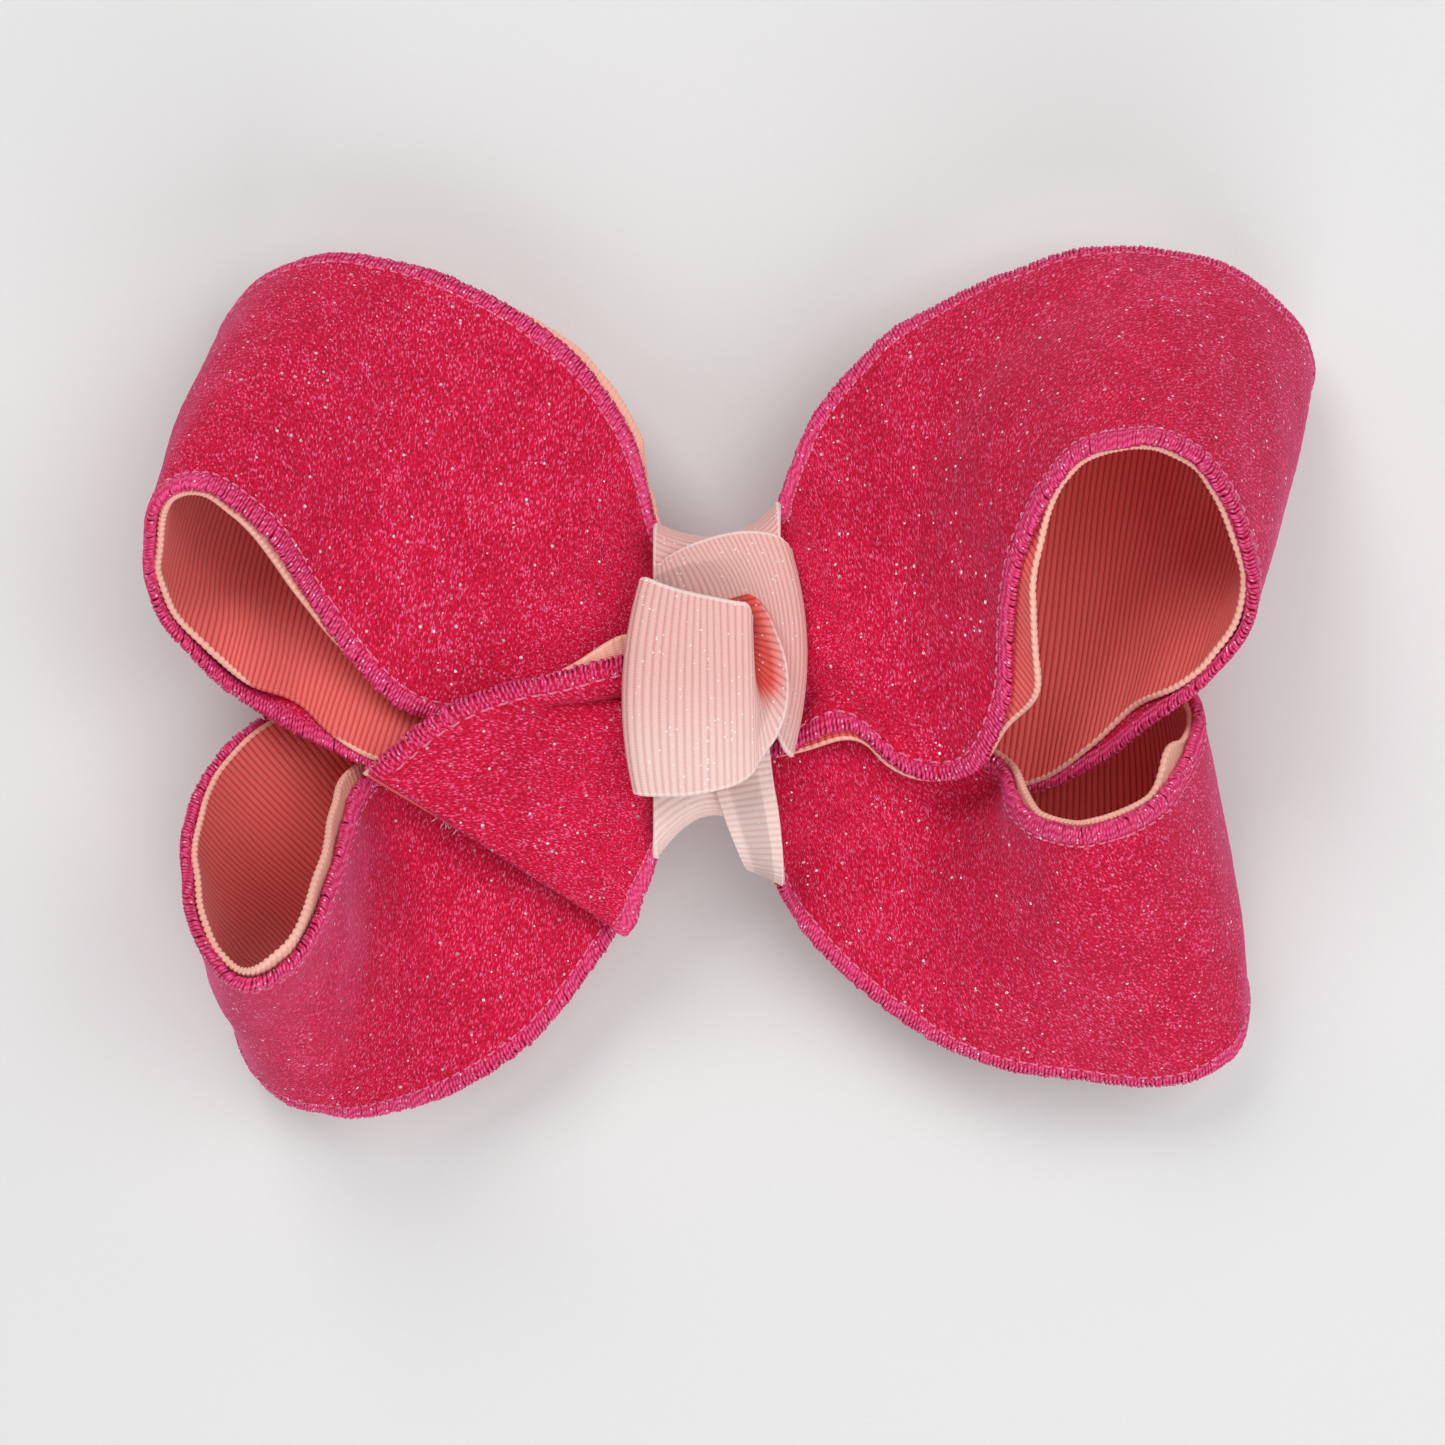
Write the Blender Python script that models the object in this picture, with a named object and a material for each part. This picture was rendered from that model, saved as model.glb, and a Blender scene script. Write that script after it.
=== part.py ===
"""A boutique hair bow: four twisted ribbon loops and one cut end, tied at the waist with a knot
of narrower ribbon, on a single-prong alligator clip.

The bow lies face up. +X is the wearer's view to the right, +Y is up the bow and +Z comes out of
its face. The origin is on the flat belly of the clip's jaw. Lengths are written in millimetres
and turned into metres where a mesh is made.
"""

import math

import bmesh
import bpy
import numpy as np

MM = 0.001

# Ribbon and thread
STITCH_RADIUS = 0.6  # the overlocked edge of the velvet, as a bead
STITCH_GAP = 0.15
VELVET = 1.0  # thickness
LINING = 0.5
GAP = 0.3  # clearance between touching pieces
KNOT_RIBBON = 0.5
STATIONS = 34  # along a loop
ACROSS = 5  # points across a ribbon
WAIST = 1.0  # half the slit between the left and right legs, under the knot

# Heights of the ribbon legs at the waist, from the clip outwards: the middle of the velvet
LEG_LOWER_BACK = 10.5
LEG_UPPER_RIGHT_BACK = 12.7
LEG_LOWER_LEFT_FRONT = 13.5
LEG_UPPER_LEFT_BACK = 15.0
LEG_LOWER_RIGHT_FRONT = 15.7
LEG_UPPER_FRONT = 17.9
LEG_TAIL = 20.5

# Alligator clip
ARM_Z = 6.2  # underside of the upper arm
SHEET_METAL = 0.8
CLIP_WIDTH = 8.0
ARM_TIP_X, ARM_END_X = -24.0, 21.0
HINGE_X, HINGE_Z = 11.0, 3.4
PIN_RADIUS = 0.75
PIN_CLEARANCE = 0.08

# Each loop is a list of stations along the ribbon, from the front of the waist round the far
# end and back under it. A station is the point on the ribbon's outer edge, then the point on
# the edge round the loop's mouth. The ribbon is 40 mm across its stitching.
UPPER_RIGHT = [
    ((WAIST, 14.5, LEG_UPPER_FRONT), (WAIST, -8, LEG_UPPER_FRONT)),
    ((6, 20, 17.5), (9, -5.5, 18.7)),
    ((7, 21.5, 16.5), (14.5, -2.5, 21.5)),
    ((7.5, 23.5, 15.5), (20.5, -8.5, 22.3)),
    ((8.5, 26, 14.5), (27.5, -8, 26)),
    ((10.5, 31, 13.5), (30.5, -1.5, 29.5)),
    ((15.5, 37, 12.5), (30.5, 6.5, 33)),
    ((22.5, 42.5, 11.5), (31.5, 15, 37)),
    ((32.5, 47, 10.5), (35, 22.5, 40)),
    ((43, 50, 10), (40.5, 25.5, 41)),
    ((54, 48.5, 10), (46.5, 25, 41)),
    ((62, 44, 10), (52, 19.5, 39)),
    ((66, 37.5, 8), (55, 11, 35)),
    ((63.5, 33, 5), (53, 3.5, 29.5)),
    ((56, 32, 4), (46, -2.5, 24)),
    ((43.5, 30.5, 5), (37.5, -9, 18)),
    ((29, 27, 7.4), (24.5, -11.5, 13.8)),
    ((15, 21.5, 10.5), (13.5, -10, 13.2)),
    ((WAIST, 14.5, LEG_UPPER_RIGHT_BACK), (WAIST, -8, LEG_UPPER_RIGHT_BACK)),
]
LOWER_RIGHT = [
    ((WAIST, -10, LEG_LOWER_RIGHT_FRONT), (WAIST, 9, LEG_LOWER_RIGHT_FRONT)),
    ((6.5, -19, 15.5), (9, 8.5, 15.7)),
    ((9, -24.5, 15), (16, 4.5, 16.9)),
    ((14, -30, 13.5), (22, -0.5, 19)),
    ((21, -35.5, 12), (27.5, -5.5, 21.8)),
    ((29.5, -39.5, 11), (31.5, -10.5, 29)),
    ((39, -41.5, 10), (35.5, -13, 35)),
    ((48, -42.5, 10), (40.5, -12.5, 37)),
    ((55.5, -40.5, 9.5), (46, -9.5, 33)),
    ((58.5, -37, 8), (50, -5, 26)),
    ((58.5, -31.5, 4.5), (51.5, 0, 19)),
    ((52.5, -28, 2.2), (49, 5, 11)),
    ((41, -26, 2.2), (41.5, 8.5, 7.3)),
    ((27.5, -23.5, 3.8), (29.5, 10, 7.3)),
    ((16, -20, 8), (17, 10.5, 8.8)),
    ((WAIST, -10, LEG_LOWER_BACK), (WAIST, 9, LEG_LOWER_BACK)),
]
UPPER_LEFT = [
    ((-WAIST, 14.5, LEG_UPPER_FRONT), (-WAIST, -7, LEG_UPPER_FRONT)),
    ((-6, 18, 17.5), (-8, 0, 18)),
    ((-7.5, 24, 16), (-16.5, 0, 20)),
    ((-9, 29, 15), (-26, -2.5, 21.5)),
    ((-12, 34, 14), (-33, -1.5, 22.8)),
    ((-17, 39.5, 13.5), (-38.5, 4, 24)),
    ((-24, 44, 13), (-43.5, 11.5, 27)),
    ((-32.5, 47.5, 12), (-47.5, 18, 32.5)),
    ((-40.5, 49, 11), (-52.5, 21.5, 36.5)),
    ((-49, 47, 10), (-56.5, 20, 37.5)),
    ((-54, 42, 8), (-58.5, 15.5, 34)),
    ((-54.5, 35.5, 5), (-58, 9, 28.5)),
    ((-49.5, 29, 4), (-53, 2, 24)),
    ((-39, 25, 5.5), (-44.5, -3.5, 21.8)),
    ((-27, 21.5, 9), (-36, -7.5, 21.2)),
    ((-16, 18.5, 12.3), (-23, -9.5, 18.5)),
    ((-8, 17, 14.6), (-11.5, -9, 16)),
    ((-WAIST, 14.5, LEG_UPPER_LEFT_BACK), (-WAIST, -7, LEG_UPPER_LEFT_BACK)),
]
LOWER_LEFT = [
    ((-WAIST, -10, LEG_LOWER_LEFT_FRONT), (-WAIST, 9, LEG_LOWER_LEFT_FRONT)),
    ((-6, -16.5, 13.5), (-8, 6.5, 13.4)),
    ((-9, -22.5, 12.5), (-17, 4, 13.9)),
    ((-14.5, -31, 11), (-25.5, -0.5, 14.9)),
    ((-20.5, -38, 10), (-33.5, -4.5, 16)),
    ((-28, -43, 9.5), (-37.5, -7.5, 18)),
    ((-36.5, -45.5, 9), (-39, -13.5, 28)),
    ((-44, -45.5, 9), (-39.5, -20.5, 38)),
    ((-49.5, -42.5, 8.5), (-42.5, -26.5, 42.5)),
    ((-52.5, -38, 7), (-47.5, -28.5, 43)),
    ((-53, -33.5, 4), (-51.5, -25.5, 40)),
    ((-48.5, -29.5, 2.2), (-54.5, -18.5, 33)),
    ((-39.5, -27.5, 2.2), (-55.5, -11, 25)),
    ((-30, -26.5, 3), (-50.5, -2.5, 16.5)),
    ((-19.5, -24, 5), (-38, 3.5, 11)),
    ((-10.5, -19, 8.3), (-24, 8, 10.6)),
    ((-WAIST, -10, LEG_LOWER_BACK), (-WAIST, 9, LEG_LOWER_BACK)),
]
# The cut end leaves the front of the waist and droops over the lower left loop.
TAIL = [
    ((-WAIST, 4, LEG_TAIL), (-WAIST, -8.5, LEG_TAIL - 0.4)),
    ((-9, 5, 22), (-6, -16.5, 17.6)),
    ((-17, 3, 23.4), (-7, -19.5, 17)),
    ((-25, 1, 25.6), (-8, -22, 16.6)),
    ((-30.5, -2, 26), (-8.5, -24, 16.2)),
    ((-37, -7.5, 25.5), (-9.5, -25.5, 15.8)),
]
TAIL_DROOP = 2.5  # how far the middle of the cut end hangs below the line between its corners

VELVET_PINK = (0.68, 0.012, 0.065)
STITCH_PINK = (0.68, 0.035, 0.27)
LINING_PINK = (0.83, 0.47, 0.42)
KNOT_PINK = (0.88, 0.52, 0.47)
THREAD_WHITE = (0.85, 0.83, 0.82)
GLUE = (0.80, 0.78, 0.70)
STEEL = (0.62, 0.62, 0.64)


def clear_scene():
    for thing in list(bpy.data.objects):
        bpy.data.objects.remove(thing, do_unlink=True)


def material(name, colour, roughness, metallic=0.0):
    """One Principled material, made on first use and shared afterwards."""
    made = bpy.data.materials.get(name)
    if made:
        return made
    made = bpy.data.materials.new(name)
    made.use_nodes = True
    shader = made.node_tree.nodes["Principled BSDF"]
    shader.inputs["Base Color"].default_value = (*colour, 1.0)
    shader.inputs["Roughness"].default_value = roughness
    shader.inputs["Metallic"].default_value = metallic
    return made


def velvet():
    return material("velvet", VELVET_PINK, 0.85)


def stitching():
    return material("edge_stitching", STITCH_PINK, 0.7)


def grosgrain():
    return material("grosgrain_lining", LINING_PINK, 0.6)


def knot_grosgrain():
    return material("knot_grosgrain", KNOT_PINK, 0.6)


def steel():
    return material("clip_steel", STEEL, 0.3, 1.0)


def object_from(name, vertices, faces, finish, smooth=True, origin=(0, 0, 0)):
    """A mesh object from points in millimetres, its faces turned outwards and its origin set."""
    origin = np.array(origin, float)
    mesh = bpy.data.meshes.new(name)
    mesh.from_pydata([tuple((np.array(v, float) - origin) * MM) for v in vertices], [], faces)
    work = bmesh.new()
    work.from_mesh(mesh)
    bmesh.ops.recalc_face_normals(work, faces=work.faces)
    if work.calc_volume(signed=True) < 0:
        bmesh.ops.reverse_faces(work, faces=work.faces)
    work.to_mesh(mesh)
    work.free()
    mesh.materials.append(finish)
    made = bpy.data.objects.new(name, mesh)
    made.location = tuple(origin * MM)
    bpy.context.scene.collection.objects.link(made)
    if smooth:
        mesh.shade_smooth()
        mesh.set_sharp_from_angle(angle=math.radians(50))
    return made


def spline(points, count):
    """count points on a smooth curve through the given ones, evenly spaced along it."""
    points = np.array(points, float)
    steps = np.linalg.norm(np.diff(points, axis=0), axis=1)
    at = np.concatenate([[0], np.cumsum(np.maximum(steps, 1e-6))])
    slopes = np.empty_like(points)
    slopes[1:-1] = (points[2:] - points[:-2]) / (at[2:] - at[:-2])[:, None]
    slopes[0] = (points[1] - points[0]) / at[1]
    slopes[-1] = (points[-1] - points[-2]) / (at[-1] - at[-2])
    wanted = np.linspace(0, at[-1], count)
    leg = np.clip(np.searchsorted(at, wanted, side="right") - 1, 0, len(at) - 2)
    span = (at[leg + 1] - at[leg])[:, None]
    t = (wanted - at[leg])[:, None] / span
    return (
        (2 * t**3 - 3 * t**2 + 1) * points[leg]
        + (t**3 - 2 * t**2 + t) * span * slopes[leg]
        + (3 * t**2 - 2 * t**3) * points[leg + 1]
        + (t**3 - t**2) * span * slopes[leg + 1]
    )


def edges_of(stations, count):
    """The ribbon's two edges, as count matching points each."""
    both = spline([outer + inner for outer, inner in stations], count)
    return both[:, :3], both[:, 3:]


def ribbon_grid(stations, count, across, inset, droop=0.0):
    """Points over the ribbon's surface, (count, across, 3). inset is left free at each edge."""
    outer, inner = edges_of(stations, count)
    chord = inner - outer
    length = np.linalg.norm(chord, axis=1, keepdims=True)
    outer = outer + chord / length * inset
    inner = inner - chord / length * inset
    w = np.linspace(0, 1, across)[None, :, None]
    grid = outer[:, None] * (1 - w) + inner[:, None] * w
    sag = np.linspace(0, 1, count)[:, None] ** 2 * 4 * w[..., 0] * (1 - w[..., 0])
    grid[..., 2] -= droop * sag
    return grid


def normals_of(grid):
    along = np.gradient(grid, axis=0)
    side = np.gradient(grid, axis=1)
    normal = np.cross(along, side)
    return normal / np.linalg.norm(normal, axis=2, keepdims=True)


def slab(name, grid, low, high, finish):
    """A closed sheet between the surfaces low and high millimetres along the grid's normal."""
    normal = normals_of(grid)
    rows, columns = grid.shape[:2]
    points = np.concatenate(
        [(grid + normal * low).reshape(-1, 3), (grid + normal * high).reshape(-1, 3)]
    )
    layer = rows * columns

    def at(i, j, top):
        return top * layer + i * columns + j

    faces = []
    for i in range(rows - 1):
        for j in range(columns - 1):
            faces.append([at(i, j, 0), at(i, j + 1, 0), at(i + 1, j + 1, 0), at(i + 1, j, 0)])
            faces.append([at(i, j, 1), at(i + 1, j, 1), at(i + 1, j + 1, 1), at(i, j + 1, 1)])
        for j in (0, columns - 1):
            faces.append([at(i, j, 0), at(i + 1, j, 0), at(i + 1, j, 1), at(i, j, 1)])
    for j in range(columns - 1):
        for i in (0, rows - 1):
            faces.append([at(i, j, 0), at(i, j, 1), at(i, j + 1, 1), at(i, j + 1, 0)])
    return object_from(name, points, faces, finish)


def tube(name, route, radius, finish, sides_step=1):
    """A round cord along the route, with closed ends."""
    curve = bpy.data.curves.new(name, "CURVE")
    curve.dimensions = "3D"
    curve.bevel_depth = radius * MM
    curve.bevel_resolution = sides_step
    curve.use_fill_caps = True
    line = curve.splines.new("POLY")
    line.points.add(len(route) - 1)
    for point, place in zip(line.points, route):
        point.co = (*(place * MM), 1.0)
    curve.materials.append(finish)
    made = bpy.data.objects.new(name, curve)
    bpy.context.scene.collection.objects.link(made)
    return made


def ribbon(place, stations, inward, count, droop=0.0):
    """The velvet, its two stitched edges and the lining behind it. inward is the side of the
    surface that the lining lies on, +1 or -1 along its normal."""
    bead_space = 2 * STITCH_RADIUS + STITCH_GAP
    half = VELVET / 2
    velvet_grid = ribbon_grid(stations, count, ACROSS, bead_space, droop)
    slab(f"velvet_{place}", velvet_grid, -half, half, velvet())
    lining_grid = ribbon_grid(stations, count, ACROSS, STITCH_RADIUS, droop)
    near, far = half + GAP, half + GAP + LINING
    low, high = sorted((inward * near, inward * far))
    slab(f"lining_{place}", lining_grid, low, high, grosgrain())
    for side, column, beside in (("outer", 0, 1), ("inner", -1, -2)):
        edge = velvet_grid[:, column]
        along = np.gradient(edge, axis=0)
        along /= np.linalg.norm(along, axis=1, keepdims=True)
        out = edge - velvet_grid[:, beside]
        out -= (out * along).sum(axis=1, keepdims=True) * along
        out /= np.linalg.norm(out, axis=1, keepdims=True)
        bead = edge + out * (STITCH_RADIUS + STITCH_GAP)
        tube(f"edge_stitch_{place}_{side}", bead, STITCH_RADIUS, stitching())


def band_object(name, rows, finish):
    """A closed solid from band rows."""
    sweep, _, count, _ = rows.shape
    points = rows.reshape(-1, 3)

    def at(s, side, k):
        return (s * 2 + side) * count + k

    faces = []
    for s in range(sweep - 1):
        for k in range(count - 1):
            for side in (0, 1):
                faces.append([at(s, side, k), at(s + 1, side, k), at(s + 1, side, k + 1), at(s, side, k + 1)])
        for k in (0, count - 1):
            faces.append([at(s, 0, k), at(s, 1, k), at(s + 1, 1, k), at(s + 1, 0, k)])
    for s in (0, sweep - 1):
        for k in range(count - 1):
            faces.append([at(s, 0, k), at(s, 0, k + 1), at(s, 1, k + 1), at(s, 1, k)])
    return object_from(name, points, faces, finish)


# Knot. A half wrap runs from the face of the knot round one side of the waist to the back of
# the clip's arm. Its profile is in (y, z), and it flares where it spreads over the loops.
WRAP_HALF_WIDTH = 6.5
UPPER_WRAP = [
    (0.3, 22.2), (7, 22.2), (13, 22.0), (16.4, 20.8), (17.8, 18), (17.8, 13.5),
    (15.6, 9), (10.5, 6.6), (5.2, 5.2), (0.3, 5.1),
]
UPPER_FLARE = 4.4
LOWER_WRAP = [
    (-0.3, 22.2), (-5, 22.2), (-9.5, 22.0), (-12.8, 20.8), (-14.1, 18), (-14.1, 12.5),
    (-12.6, 9), (-9, 6.8), (-5.2, 5.2), (-0.3, 5.1),
]
LOWER_FLARE = 6.5


def wrap(name, profile, side, flare_at_edge):
    profile = spline(profile, 18)
    rows = []
    tangent = np.gradient(profile, axis=0)
    outward = np.stack([tangent[:, 1], -tangent[:, 0]], 1) * -side
    outward /= np.linalg.norm(outward, axis=1, keepdims=True)
    for along in np.linspace(-WRAP_HALF_WIDTH, WRAP_HALF_WIDTH, 7):
        flare = flare_at_edge * (along / WRAP_HALF_WIDTH) ** 2
        reach = np.clip(np.abs(profile[:, 0]) / 12, 0, 1) ** 2
        pair = []
        for lift in (0, KNOT_RIBBON):
            place = profile + outward * lift
            y = place[:, 0] + side * flare * reach
            pair.append(np.stack([np.full(len(y), along), y, place[:, 1]], 1))
        rows.append(np.stack(pair))
    return band_object(name, np.array(rows), knot_grosgrain())


# The face of the knot: the ribbon turns over on the left, crosses the front and curls back on
# the right. Its profile is in (x, z).
FACE_PROFILE = [
    (5.5, 22.9), (0, 23.0), (-6, 22.9), (-8.4, 23.3), (-9.2, 24.6), (-8.4, 26.0), (-4.5, 27.0),
    (0, 27.4), (4, 27.0), (7.4, 25.8), (8.6, 24.4), (7.6, 23.4),
]
FACE_BOTTOM, FACE_TOP = -10.4, 11.0


def knot_face():
    profile = spline(FACE_PROFILE, 30)
    tangent = np.gradient(profile, axis=0)
    inward = np.stack([-tangent[:, 1], tangent[:, 0]], 1)
    inward /= np.linalg.norm(inward, axis=1, keepdims=True)
    rows = []
    for along in np.linspace(FACE_BOTTOM, FACE_TOP, 7):
        middle = (FACE_BOTTOM + FACE_TOP) / 2
        pull = 1 - 0.08 * ((along - middle) / (FACE_TOP - middle)) ** 2
        pair = []
        for lift in (0, -KNOT_RIBBON):
            place = profile + inward * lift
            pair.append(np.stack([place[:, 0] * pull, np.full(len(place), along), place[:, 1]], 1))
        rows.append(np.stack(pair))
    return band_object("knot_face", np.array(rows), knot_grosgrain())


def knot_cross_band():
    """The pass of the knot ribbon that slants over the top of the waist, behind the face."""
    stations = [
        ((-7.6, 15.6, 23.0), (-7.6, 11.6, 23.4)),
        ((-3, 16.8, 23.6), (-3, 11.5, 24.2)),
        ((3, 18.2, 23.4), (3, 11.5, 24.2)),
        ((8.5, 16.8, 22.6), (8.6, 11.6, 23.2)),
    ]
    grid = ribbon_grid(stations, 9, 4, 0)
    return slab("knot_cross_band", grid, -KNOT_RIBBON / 2, KNOT_RIBBON / 2, knot_grosgrain())


def binding_thread():
    """Three turns of thread round the pinched legs, under the knot."""
    turns, per_turn = 3, 28
    middle = np.array([1.8, 15.4])
    reach = np.array([14.4, 6.1])
    squareness = 8.0
    route = []
    for k in range(turns * per_turn + 1):
        angle = 2 * math.pi * k / per_turn
        c, s = math.cos(angle), math.sin(angle)
        radius = (abs(c) ** squareness + abs(s) ** squareness) ** (-1 / squareness)
        y, z = middle + reach * np.array([c, s]) * radius
        x = -1.2 + 2.4 * k / (turns * per_turn)
        route.append(np.array([x, y, z]))
    return tube("binding_thread", route, 0.3, material("binding_thread", THREAD_WHITE, 0.8))


def box_between(name, low, high, finish, bevel=0.0):
    """A box with one corner at low and the other at high, its edges rounded by bevel."""
    low, high = np.array(low, float), np.array(high, float)
    mesh = bpy.data.meshes.new(name)
    work = bmesh.new()
    bmesh.ops.create_cube(work, size=1.0)
    bmesh.ops.scale(work, vec=(high - low) * MM, verts=work.verts)
    if bevel:
        upright = [e for e in work.edges if abs(e.verts[0].co.z - e.verts[1].co.z) > 1e-6]
        bmesh.ops.bevel(work, geom=upright, offset=bevel * MM, segments=3, affect="EDGES", profile=0.5)
    work.to_mesh(mesh)
    work.free()
    mesh.materials.append(finish)
    made = bpy.data.objects.new(name, mesh)
    made.location = tuple((low + high) / 2 * MM)
    bpy.context.scene.collection.objects.link(made)
    return made


def extruded(name, outline, half_width, finish, origin=(0, 0, 0)):
    """An outline of (x, z) points, anticlockwise from the front, given width along Y."""
    count = len(outline)
    vertices = [(x, -half_width, z) for x, z in outline] + [(x, half_width, z) for x, z in outline]
    faces = [list(range(count)), list(range(2 * count - 1, count - 1, -1))]
    for k in range(count):
        n = (k + 1) % count
        faces.append([k, k + count, n + count, n])
    return object_from(name, vertices, faces, finish, smooth=False, origin=origin)


def pin(name, radius, half_length, centre, finish, sides=24):
    mesh = bpy.data.meshes.new(name)
    work = bmesh.new()
    bmesh.ops.create_cone(
        work, cap_ends=True, segments=sides, radius1=radius * MM, radius2=radius * MM, depth=2 * half_length * MM
    )
    work.to_mesh(mesh)
    work.free()
    mesh.materials.append(finish)
    mesh.shade_smooth()
    mesh.set_sharp_from_angle(angle=math.radians(40))
    made = bpy.data.objects.new(name, mesh)
    made.rotation_euler = (math.radians(90), 0, 0)
    made.location = tuple(np.array(centre, float) * MM)
    bpy.context.scene.collection.objects.link(made)
    return made


def cut_round_hole(target, radius, centre):
    """Cuts a hole along Y through the target."""
    cutter = pin(f"cutter_{target.name}", radius, 20, centre, steel(), sides=24)
    cutter.hide_render = True
    cutter.display_type = "WIRE"
    cut = target.modifiers.new("hole", "BOOLEAN")
    cut.operation = "DIFFERENCE"
    cut.solver = "EXACT"
    cut.object = cutter


def join_into(target, others):
    """Unites the target with the others, which become hidden helpers."""
    for k, other in enumerate(others):
        other.hide_render = True
        other.display_type = "WIRE"
        unite = target.modifiers.new(f"join_{k}", "BOOLEAN")
        unite.operation = "UNION"
        unite.solver = "EXACT"
        unite.object = other


def ear(name, half_gap, thickness, top, side):
    """One side cheek round the hinge pin: a plate at +Y or -Y, rounded below."""
    outline = [(HINGE_X - 3.0, top), (HINGE_X - 3.0, HINGE_Z)]
    for k in range(7):
        angle = math.pi + math.pi * k / 6
        outline.append((HINGE_X + 3.0 * math.cos(angle) * 0.8, HINGE_Z + 2.0 * math.sin(angle)))
    outline += [(HINGE_X + 3.0, HINGE_Z), (HINGE_X + 3.0, top)]
    made = extruded(name, outline, thickness / 2, steel())
    made.location = (0, side * (half_gap + thickness / 2) * MM, 0)
    return made


def upper_arm():
    """The flat arm that the bow is glued to, with a cheek down each side of the hinge."""
    arm = box_between(
        "clip_upper_arm",
        (ARM_TIP_X, -CLIP_WIDTH / 2, ARM_Z),
        (ARM_END_X, CLIP_WIDTH / 2, ARM_Z + SHEET_METAL),
        steel(),
        bevel=1.5,
    )
    cheeks = []
    for side in (-1, 1):
        cheeks.append(ear(f"helper_arm_cheek_{side + 1}", CLIP_WIDTH / 2 - 0.7, 0.7, ARM_Z + 0.4, side))
    join_into(arm, cheeks)
    cut_round_hole(arm, PIN_RADIUS + PIN_CLEARANCE, (HINGE_X, 0, HINGE_Z))
    return arm


JAW_HALF_WIDTH = 2.9


def lower_jaw():
    """The sprung prong: a flat belly, a tip that turns up to the arm and a thumb tab behind."""
    thick = SHEET_METAL
    under = [(-22.5, 4.6), (-21.6, 2.6), (-19, 0.8), (-15, 0.1), (-12, 0), (12, 0), (21, 0)]
    above = [(x, z + thick) for x, z in reversed(under[1:])] + [(-21.9, 4.9)]
    jaw = extruded("clip_lower_jaw", under + above, JAW_HALF_WIDTH, steel(), origin=(HINGE_X, 0, HINGE_Z))
    cheeks = []
    for side in (-1, 1):
        outline = [(HINGE_X - 2.6, 0.4), (HINGE_X + 2.6, 0.4), (HINGE_X + 1.9, HINGE_Z)]
        for k in range(5):
            angle = math.pi * k / 4
            outline.append((HINGE_X + 1.8 * math.cos(angle), HINGE_Z + 0.3 + 1.5 * math.sin(angle)))
        outline.append((HINGE_X - 1.9, HINGE_Z))
        cheek = extruded(f"helper_jaw_cheek_{side + 1}", outline, 0.35, steel())
        cheek.location = (0, side * (JAW_HALF_WIDTH - 0.35) * MM, 0)
        cheeks.append(cheek)
    join_into(jaw, cheeks)
    cut_round_hole(jaw, PIN_RADIUS + PIN_CLEARANCE, (HINGE_X, 0, HINGE_Z))
    return jaw


def spring():
    """A torsion spring on the pin: a few turns, one leg under the arm and one on the jaw."""
    wire, coil, turns, per_turn = 0.25, 1.3, 4, 12
    route = [np.array([HINGE_X - 7.0, -1.5, ARM_Z - 0.55])]
    route.append(np.array([HINGE_X - 3.4, -1.5, ARM_Z - 0.75]))
    for k in range(turns * per_turn + 1):
        angle = math.radians(100) - 2 * math.pi * k / per_turn
        route.append(
            np.array(
                [
                    HINGE_X + coil * math.cos(angle),
                    -1.5 + 3.0 * k / (turns * per_turn),
                    HINGE_Z + coil * math.sin(angle),
                ]
            )
        )
    route.append(np.array([HINGE_X - 3.6, 1.5, 1.25]))
    route.append(np.array([HINGE_X - 6.5, 1.5, 1.2]))
    return tube("clip_spring", route, wire, steel())


def clip():
    upper_arm()
    lower_jaw()
    pin("clip_hinge_pin", PIN_RADIUS, CLIP_WIDTH / 2 + 0.6, (HINGE_X, 0, HINGE_Z), steel())
    spring()
    top = ARM_Z + SHEET_METAL
    box_between("clip_lining", (ARM_TIP_X + 1, -3.7, top + 0.2), (8, 3.7, top + 0.6), grosgrain(), bevel=1.0)
    box_between("glue_pad", (-7, -3.2, top + 0.8), (7, 3.2, top + 1.8), material("glue", GLUE, 0.4), bevel=1.2)


def main():
    clear_scene()
    ribbon("loop_upper_right", UPPER_RIGHT, 1, STATIONS)
    ribbon("loop_lower_right", LOWER_RIGHT, -1, STATIONS)
    ribbon("loop_upper_left", UPPER_LEFT, -1, STATIONS)
    ribbon("loop_lower_left", LOWER_LEFT, 1, STATIONS)
    ribbon("tail", TAIL, -1, 9, TAIL_DROOP)
    wrap("knot_tail_upper", UPPER_WRAP, 1, UPPER_FLARE)
    wrap("knot_tail_lower", LOWER_WRAP, -1, LOWER_FLARE)
    knot_face()
    knot_cross_band()
    binding_thread()
    clip()


main()
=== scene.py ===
# %% [markdown]
# # A boutique hair bow in glitter velvet and ribbed ribbon
#
# The bow is four twisted loops of wide velvet ribbon, lined with pale grosgrain, with one cut end
# lying over the front. A narrower grosgrain ribbon is knotted round its waist, and a steel clip
# sits behind. The clip comes from the packed model as it is. Each ribbon there is a plain
# solid, so this lesson makes every ribbon again as cloth, with its real edge and its real ribs.
#
# The packed model is in metres and the bow lies face up in it: +Z comes out of its face. The
# maker's sizes below are in millimetres, and MM turns them into metres where a mesh is made.

import math

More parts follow.
